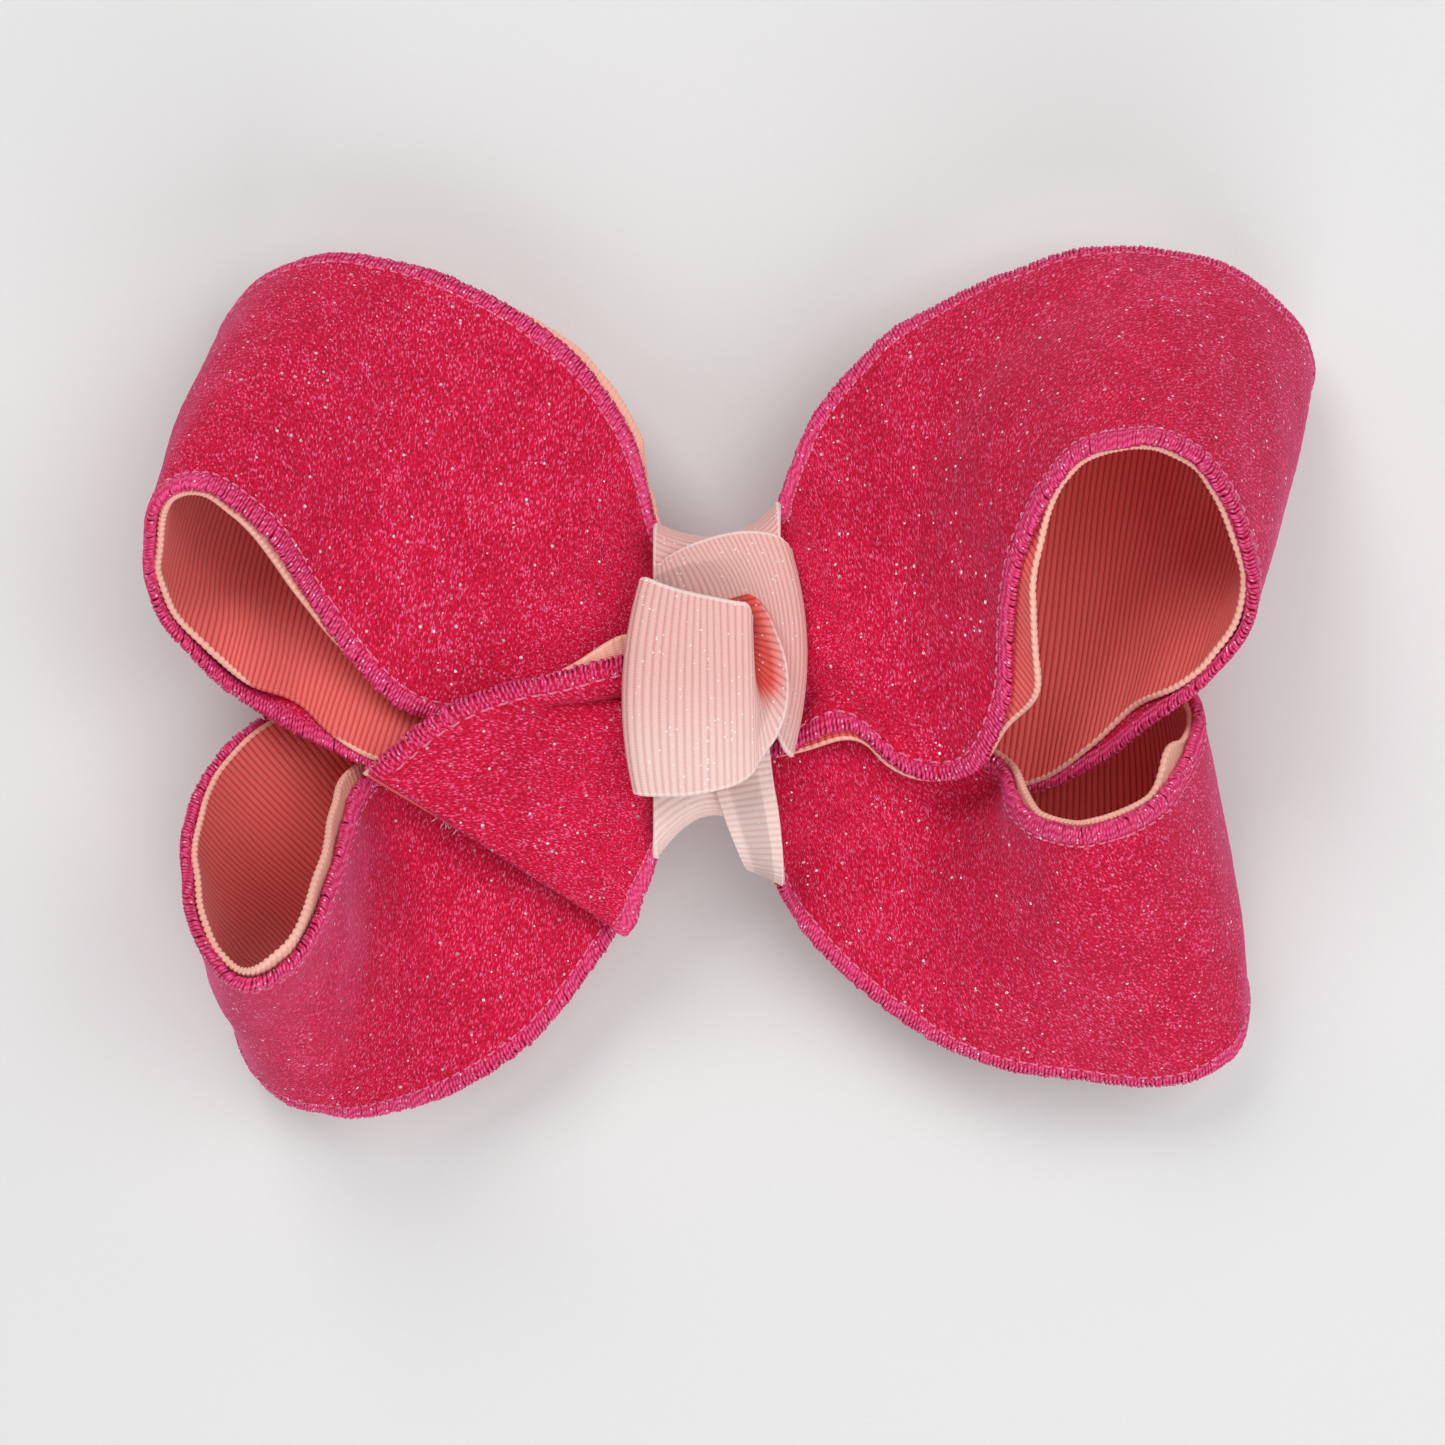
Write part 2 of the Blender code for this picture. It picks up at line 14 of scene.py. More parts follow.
import bmesh
import bpy
import numpy as np
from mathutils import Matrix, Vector


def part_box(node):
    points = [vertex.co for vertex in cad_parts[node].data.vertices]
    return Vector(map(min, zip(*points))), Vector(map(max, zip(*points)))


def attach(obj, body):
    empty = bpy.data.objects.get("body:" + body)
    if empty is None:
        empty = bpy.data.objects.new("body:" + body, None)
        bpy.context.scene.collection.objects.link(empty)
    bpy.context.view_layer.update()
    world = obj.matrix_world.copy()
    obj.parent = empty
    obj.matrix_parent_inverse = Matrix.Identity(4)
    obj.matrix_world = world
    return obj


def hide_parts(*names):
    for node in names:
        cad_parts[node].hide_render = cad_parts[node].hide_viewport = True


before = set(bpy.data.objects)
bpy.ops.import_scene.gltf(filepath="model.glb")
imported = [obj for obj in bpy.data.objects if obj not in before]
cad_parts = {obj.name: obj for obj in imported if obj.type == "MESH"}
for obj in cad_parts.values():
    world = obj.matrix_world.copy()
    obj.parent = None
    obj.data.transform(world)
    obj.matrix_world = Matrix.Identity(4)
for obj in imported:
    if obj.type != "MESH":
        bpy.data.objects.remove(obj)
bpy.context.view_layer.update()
MM = 0.001

# %% [markdown]
# ## Camera, floor and light
#
# The bow is seen from straight above, from less than 40 cm away. A lens that close
# shows the mouths of the loops larger than the parts that lie low, which is much of the bow's
# look. A pale card and three large soft lights are enough: velvet needs light from the side to
# show its sheen, and glitter needs lamps that have an edge to reflect.

# %% Camera
CAMERA_AT = (0.0008, -0.0024, 0.370)
LENS_MM, SENSOR_MM = 81.5, 36.0

camera_data = bpy.data.cameras.new("camera")
camera_data.lens = LENS_MM
camera_data.sensor_width = SENSOR_MM
camera = bpy.data.objects.new("camera", camera_data)
camera.location = CAMERA_AT
bpy.context.scene.collection.objects.link(camera)
bpy.context.scene.camera = camera
print("camera height in metres:", camera.location.z)

# %% Lights
BOW_MIDDLE = (0, 0, 0.02)


def soft_light(name, place, size, watts, colour=(1, 1, 1)):
    """A square lamp at place, facing the middle of the bow."""
    data = bpy.data.lights.new(name, "AREA")
    data.size = size
    data.energy = watts
    data.color = colour
    lamp = bpy.data.objects.new(name, data)
    lamp.location = place
    lamp.rotation_euler = (Vector(BOW_MIDDLE) - Vector(place)).to_track_quat("-Z", "Y").to_euler()
    bpy.context.scene.collection.objects.link(lamp)


soft_light("window", (-0.25, 0.45, 0.62), 0.35, 2.5, (1, 0.98, 0.96))
soft_light("ceiling", (0.30, 0.10, 0.75), 0.60, 2.5)
soft_light("fill", (0.10, -0.60, 0.40), 0.50, 2.4, (0.96, 0.98, 1))

world = bpy.data.worlds.new("studio")
world.use_nodes = True
sky = world.node_tree.nodes["Background"]
sky.inputs["Color"].default_value = (0.95, 0.97, 1.0, 1)
sky.inputs["Strength"].default_value = 0.29
bpy.context.scene.world = world
bpy.context.scene.view_settings.view_transform = "Standard"

# %% [markdown]
# ## Writing a finish as sums
#
# A finish is a small network of nodes. Wiring it by hand hides the arithmetic, so a Wire wraps
# one socket and takes part in ordinary sums: each operator adds the Math node that does it.
# Colours and directions don't go through Math nodes, which would turn them grey. They have
# their own two methods, mix and vector.

# %% Wire and Finish
class Wire:
    """One output of a finish, for use in sums."""

    def __init__(self, finish, socket):
        self.finish = finish
        self.socket = socket

    def maths(self, operation, first, second=0.0):
        return self.finish.node("ShaderNodeMath", {"operation": operation}, {0: first, 1: second})

    def __add__(self, other):
        return self.maths("ADD", self, other)

    def __sub__(self, other):
        return self.maths("SUBTRACT", self, other)

    def __mul__(self, other):
        return self.maths("MULTIPLY", self, other)

    def __gt__(self, other):
        return self.maths("GREATER_THAN", self, other)

    def __lt__(self, other):
        return self.maths("LESS_THAN", self, other)

    def __radd__(self, other):
        return self.maths("ADD", other, self)

    def __rsub__(self, other):
        return self.maths("SUBTRACT", other, self)

    def __rmul__(self, other):
        return self.maths("MULTIPLY", other, self)

    def power(self, exponent):
        return self.maths("POWER", self, exponent)

    def sine(self):
        return self.maths("SINE", self)

    def size(self):
        return self.maths("ABSOLUTE", self)

    def ramp(self, low, high):
        """0 below low and 1 above high, with a smooth rise between."""
        settings = {"interpolation_type": "SMOOTHSTEP"}
        return self.finish.node("ShaderNodeMapRange", settings, {0: self, 1: low, 2: high})


class Finish:
    """A material being wired up round one Principled shader."""

    def __init__(self, name, **constants):
        self.material = bpy.data.materials.new(name)
        self.material.use_nodes = True
        self.tree = self.material.node_tree
        self.shader = self.tree.nodes["Principled BSDF"]
        for socket, value in constants.items():
            self.shader.inputs[socket.replace("_", " ")].default_value = value

    def join(self, value, socket):
        if isinstance(value, Wire):
            self.tree.links.new(value.socket, socket)
        elif hasattr(value, "__len__") and len(socket.default_value) > len(value):
            socket.default_value = (*value, 1.0)
        else:
            socket.default_value = value

    def node(self, kind, settings, sockets, out=0):
        made = self.tree.nodes.new(kind)
        for name, value in settings.items():
            setattr(made, name, value)
        for name, value in sockets.items():
            self.join(value, made.inputs[name])
        return Wire(self, made.outputs[out])

    def mix(self, factor, low, high):
        """The colour low where factor is 0 and high where it is 1."""
        return self.node("ShaderNodeMix", {"data_type": "RGBA"}, {0: factor, 6: low, 7: high}, 2)

    def vector(self, operation, first, second=(0, 0, 0)):
        return self.node("ShaderNodeVectorMath", {"operation": operation}, {0: first, 1: second})

    def scaled(self, direction, amount):
        settings = {"operation": "SCALE"}
        return self.node("ShaderNodeVectorMath", settings, {0: direction, "Scale": amount})

    def place(self):
        """Where a point is in the frame, in metres."""
        return self.node("ShaderNodeTexCoord", {}, {}, "Object")

    def split(self, direction):
        """The x and y of a direction or a place."""
        parts = self.tree.nodes.new("ShaderNodeSeparateXYZ")
        self.join(direction, parts.inputs[0])
        return Wire(self, parts.outputs[0]), Wire(self, parts.outputs[1])

    def along_across(self):
        """How far a point is along its ribbon and across it, in metres, from the cloth map."""
        return self.split(self.node("ShaderNodeUVMap", {"uv_map": CLOTH_MAP}, {}))

    def noise(self, where, grain_mm, detail=2.0, roughness=0.5):
        """Smooth random values from 0 to 1 with grains of that size."""
        scale = 1 / (grain_mm * MM)
        sockets = {"Vector": where, "Scale": scale, "Detail": detail, "Roughness": roughness}
        return self.node("ShaderNodeTexNoise", {}, sockets)

    def flakes(self, where, size_mm):
        """Cells of that size: distance to each cell's middle, and its random colour."""
        sockets = {"Vector": where, "Scale": 1 / (size_mm * MM)}
        distance = self.node("ShaderNodeTexVoronoi", {}, sockets, "Distance")
        chance = Wire(self, distance.socket.node.outputs["Color"])
        parts = self.tree.nodes.new("ShaderNodeSeparateColor")
        self.join(chance, parts.inputs[0])
        return distance, Wire(self, parts.outputs[0]), Wire(self, parts.outputs[1]), chance

    def bump(self, height, depth_mm, strength=1.0, normal=None):
        sockets = {"Height": height, "Distance": depth_mm * MM, "Strength": strength}
        if normal is not None:
            sockets["Normal"] = normal
        return self.node("ShaderNodeBump", {}, sockets)

    def wear(self, **sockets):
        """Drives the shader's own sockets, and hands back the material."""
        for name, value in sockets.items():
            self.join(value, self.shader.inputs[name.replace("_", " ")])
        return self.material


CLOTH_MAP = "cloth"
TURN = 2 * math.pi
print("a finish has:", [name for name in vars(Finish) if not name.startswith("_")])

# %% [markdown]
# ## Glitter velvet
#
# The velvet is a deep pink pile with fine glitter pressed into it. Face on it is saturated and
# dark. Where it turns away the pile goes frosty, which is the shader's own sheen. The glitter
# could be thousands of tiny meshes, but cells of a Voronoi texture give the same flakes at no
# cost: a cell whose random number is high enough is a flake, and its other random numbers tilt
# it, so that each one catches a different lamp. Small frosted flakes lie thickly in patches, and
# larger bright ones are scattered among them. The frosted flakes are painted light pink, partly
# the glitter's own colour and partly painted sheen. The bright ones are painted near white, a
# painted glint that shows whichever lamp they face.

# %% Velvet
PILE_DEEP = (0.38, 0.001, 0.020)
PILE_PINK = (0.66, 0.001, 0.043)
PILE_LIGHT = (0.90, 0.075, 0.20)
# The frosted flakes' light pink is partly the glitter's own colour and partly painted sheen. The
# near white of the bright flakes is a painted glint.
FLAKE_PINK_AND_PAINTED_SHEEN = (0.91, 0.17, 0.37)
PAINTED_GLINT = (1.0, 0.86, 0.90)


def velvet_finish():
    velvet = Finish(
        "velvet",
        Sheen_Weight=0.55,
        Sheen_Roughness=0.38,
        Sheen_Tint=(1.0, 0.28, 0.62, 1.0),
        Specular_IOR_Level=0.25,
    )
    where = velvet.place()
    along, across = velvet.along_across()
    pile = velvet.noise(where, 0.30, 3.0, 0.62)
    patches = velvet.noise(where, 6.0, 3.0, 0.6)
    rows = ((along * 0.75 + across) * (TURN / (0.62 * MM))).sine() * 0.5 + 0.5
    combed = {0: along + across * 0.5, 1: across * 0.45 - along * 0.2}
    lying = velvet.node("ShaderNodeCombineXYZ", {}, combed)
    flecks = velvet.noise(lying, 0.24, 2.0, 0.5)
    tone = pile.ramp(0.34, 0.62) * 0.65 + rows * 0.15 + patches.ramp(0.35, 0.7) * 0.2
    colour = velvet.mix(tone.ramp(0.14, 0.70), PILE_DEEP, PILE_PINK)
    colour = velvet.mix(flecks.ramp(0.54, 0.68) * 0.72, colour, PILE_LIGHT)
    colour = velvet.mix(flecks.ramp(0.44, 0.30) * 0.65, colour, PILE_DEEP)

    crowd = patches.ramp(0.42, 0.72)
    # Frosted flakes, painted light pink: partly the glitter's own colour, partly painted sheen.
    distance, chance, tilt, _ = velvet.flakes(lying, 0.23)
    frosted = (chance > (0.74 - crowd * 0.28)) * (distance < 0.44)
    colour = velvet.mix(frosted * (0.30 + tilt * 0.60), colour, FLAKE_PINK_AND_PAINTED_SHEEN)

    # Bright flakes, painted near white: a painted glint, besides the tilt that makes them catch a
    # lamp.
    distance, chance, tilt, random_turn = velvet.flakes(where, 0.46)
    glint = (chance > (0.976 - crowd * 0.055)) * (distance < (0.20 + tilt * 0.22))
    colour = velvet.mix(glint, colour, PAINTED_GLINT)

    shine = velvet.node("ShaderNodeMath", {"operation": "MAXIMUM"}, {0: glint, 1: frosted * 0.35})
    facing = velvet.node("ShaderNodeNewGeometry", {}, {}, "Normal")
    tilted = velvet.vector("SUBTRACT", random_turn, (0.5, 0.5, 0.5))
    tilted = velvet.vector("ADD", facing, velvet.scaled(tilted, shine * 1.5))
    tilted = velvet.vector("NORMALIZE", tilted)
    height = pile * 0.5 + flecks * 0.3 + rows * 0.2
    normal = velvet.bump(height, 0.16, 0.9, tilted)
    return velvet.wear(
        Base_Color=colour, Roughness=0.88 - shine * 0.55, Metallic=shine * 0.35, Normal=normal
    )


VELVET = velvet_finish()
print("velvet nodes:", len(VELVET.node_tree.nodes))

# %% [markdown]
# ## Grosgrain and thread
#
# Grosgrain is ribbed across its width: thick weft cords with fine warp threads over them. The
# cords are tall enough to cast shadows, so they are made in the mesh further down. The finish
# paints the grooves darker, a painted shade on top of those shadows, and adds the warp, its satin
# shine and a paler selvedge. The knot's ribbon also has a little glitter, is painted paler
# towards the bottom of the bow, where it looks more brightly lit, and is painted redder in its
# hollow, for the light bounced and shaded there. The edge thread is a two-ply twist, drawn as
# slanting stripes round the thread.

# %% Grosgrain
def grosgrain_finish(name, shaded_groove, cord, selvedge, half_width_mm, glitter):
    ribbed = Finish(name, Sheen_Weight=0.25, Sheen_Roughness=0.4, Sheen_Tint=(1.0, 0.8, 0.78, 1.0))
    where = ribbed.place()
    along, across = ribbed.along_across()
    warp = (across * (TURN / (0.27 * MM))).sine() * 0.5 + 0.5
    cords = (along * (TURN / 2 / (RIB_PITCH * MM))).sine().size()
    fibre = ribbed.noise(where, 0.25, 3.0, 0.6)
    patches = ribbed.noise(where, 9.0, 2.0)
    # The grooves between the cords are painted darker: painted shade, on top of the shadows that
    # the ribs cast in the mesh.
    tone = cords.power(0.7) * 0.62 + warp * 0.10 + fibre * 0.28
    colour = ribbed.mix(tone.ramp(0.15, 0.85), shaded_groove, cord)
    edge = across.size().ramp((half_width_mm - 0.50) * MM, (half_width_mm - 0.30) * MM)
    colour = ribbed.mix(edge * 0.8, colour, selvedge)
    roughness = 0.46 + fibre * 0.2 + patches * 0.1
    normal = ribbed.bump(warp * 0.5 + fibre * 0.5, 0.05)
    if glitter:
        # Painted light: the knot's ribbon turns paler towards the bottom of the bow, where it looks
        # more brightly lit.
        height_on_bow = ribbed.split(where)[1]
        paler = height_on_bow.ramp(PAINTED_LIGHT_FROM * MM, PAINTED_LIGHT_BY * MM)
        pale = ribbed.mix(cords, (0.82, 0.55, 0.49), (0.93, 0.77, 0.71))
        colour = ribbed.mix(paler * 0.5, colour, pale)
        # Deep in the curl the ribbon is painted redder and darker: painted light that has crossed
        # and bounced off the ribbon, and painted shade.
        deep = ribbed.node("ShaderNodeAttribute", {"attribute_name": DEEP}, {}, "Fac")
        hollow = ribbed.mix(cords.power(0.7), (0.60, 0.02, 0.02), (0.95, 0.10, 0.075))
        colour = ribbed.mix(deep, colour, hollow)
        # A little glitter on the knot, its flakes painted near white: a painted glint.
        distance, chance, tilt, _ = ribbed.flakes(where, 0.36)
        flake = (chance > (1.0 - glitter)) * (distance < 0.30)
        colour = ribbed.mix(flake * 0.85, colour, PAINTED_GLINT)
        roughness = roughness - flake * 0.30
    return ribbed.wear(Base_Color=colour, Roughness=roughness, Normal=normal)


DEEP = "deep"
PAINTED_LIGHT_FROM, PAINTED_LIGHT_BY = 4.0, -7.0
RIB_PITCH = 0.72
LINING_WIDTH = 38.8
KNOT_WIDTH = 22.0
# The lining's colours are redder than its own peach pink: part of the red is painted light, bounced
# from the velvet inside the loops.
LINING_DYE_AND_BOUNCE = (0.56, 0.034, 0.038), (0.94, 0.170, 0.150), (0.95, 0.58, 0.45)
SHELL_PINK = (0.70, 0.29, 0.27), (0.85, 0.51, 0.46), (0.93, 0.74, 0.70)
# A lighter copy of the knot's colours, for the lower wrap and the front leg: painted light, as
# those lengths look more brightly lit than the rest of the knot.
SHELL_PINK_PAINTED_LIGHT = (0.93, 0.57, 0.52), (0.99, 0.73, 0.66), (0.99, 0.84, 0.80)
LINING = grosgrain_finish("grosgrain_lining", *LINING_DYE_AND_BOUNCE, LINING_WIDTH / 2, 0.0)
KNOT_RIBBON = grosgrain_finish("knot_grosgrain", *SHELL_PINK, KNOT_WIDTH / 2, 0.08)
KNOT_RIBBON_PAINTED_LIGHT = grosgrain_finish("knot_grosgrain_painted_light", *SHELL_PINK_PAINTED_LIGHT, KNOT_WIDTH / 2, 0.05)


# %% Threads
# A thread's cloth map says how far round it a point is: 0 to 1, and 5 more on the needle's thread.
ONCE_ROUND = 1000
NEEDLE_THREAD_MARK = 5.0 * ONCE_ROUND
NEEDLE_THREAD_ABOVE = 2.0


def thread_finish(name, dark, light, spark, twist_mm):
    """Two plies twisted together, with a bright filament laid in."""
    thread = Finish(name, Sheen_Weight=0.4, Sheen_Roughness=0.35, Sheen_Tint=(*light, 1.0))
    where = thread.place()
    along, around = thread.along_across()
    twist = (along * (TURN / (twist_mm * MM)) + around * TURN).sine() * 0.5 + 0.5
    fibre = thread.noise(where, 0.12, 2.0)
    colour = thread.mix((twist * 0.7 + fibre * 0.3).ramp(0.2, 0.8), dark, light)
    colour = thread.mix((around > NEEDLE_THREAD_ABOVE) * 0.22, colour, spark)
    distance, chance, tilt, _ = thread.flakes(where, 0.35)
    bright = (chance > 0.86) * (distance < 0.40)
    colour = thread.mix(bright * (0.4 + tilt * 0.6), colour, spark)
    height = twist * 0.7 + fibre * 0.3
    return thread.wear(
        Base_Color=colour,
        Roughness=0.55 - bright * 0.3,
        Metallic=bright * 0.5,
        Normal=thread.bump(height, 0.06),
    )


MAGENTA = (0.60, 0.012, 0.10), (0.86, 0.070, 0.25), (1.0, 0.60, 0.78)
WHITE = (0.62, 0.60, 0.60), (0.90, 0.88, 0.87), (1, 1, 1)
EDGE_THREAD = thread_finish("edge_stitching", *MAGENTA, 0.8)
WHITE_THREAD = thread_finish("binding_thread", *WHITE, 0.6)
print("finishes so far:", [m.name for m in bpy.data.materials if m.users])

# %% [markdown]
# ## The middle surface of a ribbon
#
# A twisted loop is easiest to say as rungs of a ladder: pairs of points on the ribbon's two
# edges, from the front of the waist round the far end and back. These are the same driving
# sizes as the packed model's. A smooth curve through the rungs gives the middle surface, and
# the cloth's own unevenness, folds and pleats lift it along its normal. Velvet, lining and
# stitching all ask this one surface where they are, so they stay together.

# %% Rungs of the four loops and the cut end
WAIST = 1.0
LEG_LOWER_BACK = 10.5
LEG_UPPER_RIGHT_BACK = 12.7
LEG_LOWER_LEFT_FRONT = 13.5
LEG_UPPER_LEFT_BACK = 15.0
LEG_LOWER_RIGHT_FRONT = 15.7
LEG_UPPER_FRONT = 17.9
LEG_TAIL = 20.5

UPPER_RIGHT = [
    ((WAIST, 14.5, LEG_UPPER_FRONT), (WAIST, -8, LEG_UPPER_FRONT)),
    ((6, 20, 17.5), (9, -5.5, 18.7)),
    ((7, 21.5, 16.5), (14.5, -2.5, 21.5)),
    ((7.5, 23.5, 15.5), (20.5, -8.5, 22.3)),
    ((8.5, 26, 14.5), (27.5, -8, 26)),
    ((10.5, 31, 13.5), (30.5, -1.5, 29.5)),
    ((15.5, 37, 12.5), (30.5, 6.5, 33)),
    ((22.5, 42.5, 11.5), (31.5, 15, 37)),
    ((32.5, 47, 10.5), (35, 22.5, 40)),
    ((43, 50, 10), (40.5, 25.5, 41)),
    ((54, 48.5, 10), (46.5, 25, 41)),
    ((62, 44, 10), (52, 19.5, 39)),
    ((66, 37.5, 8), (55, 11, 35)),
    ((63.5, 33, 5), (53, 3.5, 29.5)),
    ((56, 32, 4), (46, -2.5, 24)),
    ((43.5, 30.5, 5), (37.5, -9, 18)),
    ((29, 27, 7.4), (24.5, -11.5, 13.8)),
    ((15, 21.5, 10.5), (13.5, -10, 13.2)),
    ((WAIST, 14.5, LEG_UPPER_RIGHT_BACK), (WAIST, -8, LEG_UPPER_RIGHT_BACK)),
]
LOWER_RIGHT = [
    ((WAIST, -10, LEG_LOWER_RIGHT_FRONT), (WAIST, 9, LEG_LOWER_RIGHT_FRONT)),
    ((6.5, -19, 15.5), (9, 8.5, 15.7)),
    ((9, -24.5, 15), (16, 4.5, 16.9)),
    ((14, -30, 13.5), (22, -0.5, 19)),
    ((21, -35.5, 12), (27.5, -5.5, 21.8)),
    ((29.5, -39.5, 11), (31.5, -10.5, 29)),
    ((39, -41.5, 10), (35.5, -13, 35)),
    ((48, -42.5, 10), (40.5, -12.5, 37)),
    ((55.5, -40.5, 9.5), (46, -9.5, 33)),
    ((58.5, -37, 8), (50, -5, 26)),
    ((58.5, -31.5, 4.5), (51.5, 0, 19)),
    ((52.5, -28, 2.2), (49, 5, 11)),
    ((41, -26, 2.2), (41.5, 8.5, 7.3)),
    ((27.5, -23.5, 3.8), (29.5, 10, 7.3)),
    ((16, -20, 8), (17, 10.5, 8.8)),
    ((WAIST, -10, LEG_LOWER_BACK), (WAIST, 9, LEG_LOWER_BACK)),
]
UPPER_LEFT = [
    ((-WAIST, 14.5, LEG_UPPER_FRONT), (-WAIST, -7, LEG_UPPER_FRONT)),
    ((-6, 18, 17.5), (-8, 0, 18)),
    ((-7.5, 24, 16), (-16.5, 0, 20)),
    ((-9, 29, 15), (-26, -2.5, 21.5)),
    ((-12, 34, 14), (-33, -1.5, 22.8)),
    ((-17, 39.5, 13.5), (-38.5, 4, 24)),
    ((-24, 44, 13), (-43.5, 11.5, 27)),
    ((-32.5, 47.5, 12), (-47.5, 18, 32.5)),
    ((-40.5, 49, 11), (-52.5, 21.5, 36.5)),
    ((-49, 47, 10), (-56.5, 20, 37.5)),
    ((-54, 42, 8), (-58.5, 15.5, 34)),
    ((-54.5, 35.5, 5), (-58, 9, 28.5)),
    ((-49.5, 29, 4), (-53, 2, 24)),
    ((-39, 25, 5.5), (-44.5, -3.5, 21.8)),
    ((-27, 21.5, 9), (-36, -7.5, 21.2)),
    ((-16, 18.5, 12.3), (-23, -9.5, 18.5)),
    ((-8, 17, 14.6), (-11.5, -9, 16)),
    ((-WAIST, 14.5, LEG_UPPER_LEFT_BACK), (-WAIST, -7, LEG_UPPER_LEFT_BACK)),
]
LOWER_LEFT = [
    ((-WAIST, -10, LEG_LOWER_LEFT_FRONT), (-WAIST, 9, LEG_LOWER_LEFT_FRONT)),
    ((-6, -16.5, 13.5), (-8, 6.5, 13.4)),
    ((-9, -22.5, 12.5), (-17, 4, 13.9)),
    ((-14.5, -31, 11), (-25.5, -0.5, 14.9)),
    ((-20.5, -38, 10), (-33.5, -4.5, 16)),
    ((-28, -43, 9.5), (-37.5, -7.5, 18)),
    ((-36.5, -45.5, 9), (-39, -13.5, 28)),
    ((-44, -45.5, 9), (-39.5, -20.5, 38)),
    ((-49.5, -42.5, 8.5), (-42.5, -26.5, 42.5)),
    ((-52.5, -38, 7), (-47.5, -28.5, 43)),
    ((-53, -33.5, 4), (-51.5, -25.5, 40)),
    ((-48.5, -29.5, 2.2), (-54.5, -18.5, 33)),
    ((-39.5, -27.5, 2.2), (-55.5, -11, 25)),
    ((-30, -26.5, 3), (-50.5, -2.5, 16.5)),
    ((-19.5, -24, 5), (-38, 3.5, 11)),
    ((-10.5, -19, 8.3), (-24, 8, 10.6)),
    ((-WAIST, -10, LEG_LOWER_BACK), (-WAIST, 9, LEG_LOWER_BACK)),
]
TAIL = [
    ((-WAIST, 4, LEG_TAIL), (-WAIST, -8.5, LEG_TAIL - 0.4)),
    ((-9, 5, 22), (-6, -16.5, 17.6)),
    ((-17, 3, 23.4), (-7, -19.5, 17)),
    ((-25, 1, 25.6), (-8, -22, 16.6)),
    ((-30.5, -2, 26), (-8.5, -24, 16.2)),
    ((-37, -7.5, 25.5), (-9.5, -25.5, 15.8)),
]
TAIL_DROOP = 2.5
print("rungs:", [len(rungs) for rungs in (UPPER_RIGHT, LOWER_RIGHT, UPPER_LEFT, LOWER_LEFT, TAIL)])


# %% A smooth curve through the rungs
def spline(points, count):
    """count points on a smooth curve through the given ones, evenly spaced along it."""
    points = np.array(points, float)
    steps = np.linalg.norm(np.diff(points, axis=0), axis=1)
    at = np.concatenate([[0], np.cumsum(np.maximum(steps, 1e-6))])
    slopes = np.empty_like(points)
    slopes[1:-1] = (points[2:] - points[:-2]) / (at[2:] - at[:-2])[:, None]
    slopes[0] = (points[1] - points[0]) / at[1]
    slopes[-1] = (points[-1] - points[-2]) / (at[-1] - at[-2])
    wanted = np.linspace(0, at[-1], count)
    leg = np.clip(np.searchsorted(at, wanted, side="right") - 1, 0, len(at) - 2)
    span = (at[leg + 1] - at[leg])[:, None]
    t = (wanted - at[leg])[:, None] / span
    return (
        (2 * t**3 - 3 * t**2 + 1) * points[leg]
        + (t**3 - 2 * t**2 + t) * span * slopes[leg]
        + (3 * t**2 - 2 * t**3) * points[leg + 1]
        + (t**3 - t**2) * span * slopes[leg + 1]
    )


def unit(vectors):
    return vectors / np.maximum(np.linalg.norm(vectors, axis=-1, keepdims=True), 1e-9)


def softened(ladder, reach):
    """The ladder with its corners rounded off over that many rows. Its two ends stay put."""
    if not reach:
        return ladder
    k = np.arange(-3 * reach, 3 * reach + 1)
    weights = np.exp(-0.5 * (k / reach) ** 2)
    before = 2 * ladder[0] - ladder[3 * reach : 0 : -1]
    after = 2 * ladder[-1] - ladder[-2 : -2 - 3 * reach : -1]
    padded = np.concatenate([before, ladder, after])
    columns = [np.convolve(column, weights / weights.sum(), "valid") for column in padded.T]
    return np.stack(columns, axis=1)


def facing_of(grid):
    return unit(np.cross(np.gradient(grid, axis=0), np.gradient(grid, axis=1)))


# %% The ribbon itself
GRID_STEP = 0.5
EDGE_ZONE = 3.0


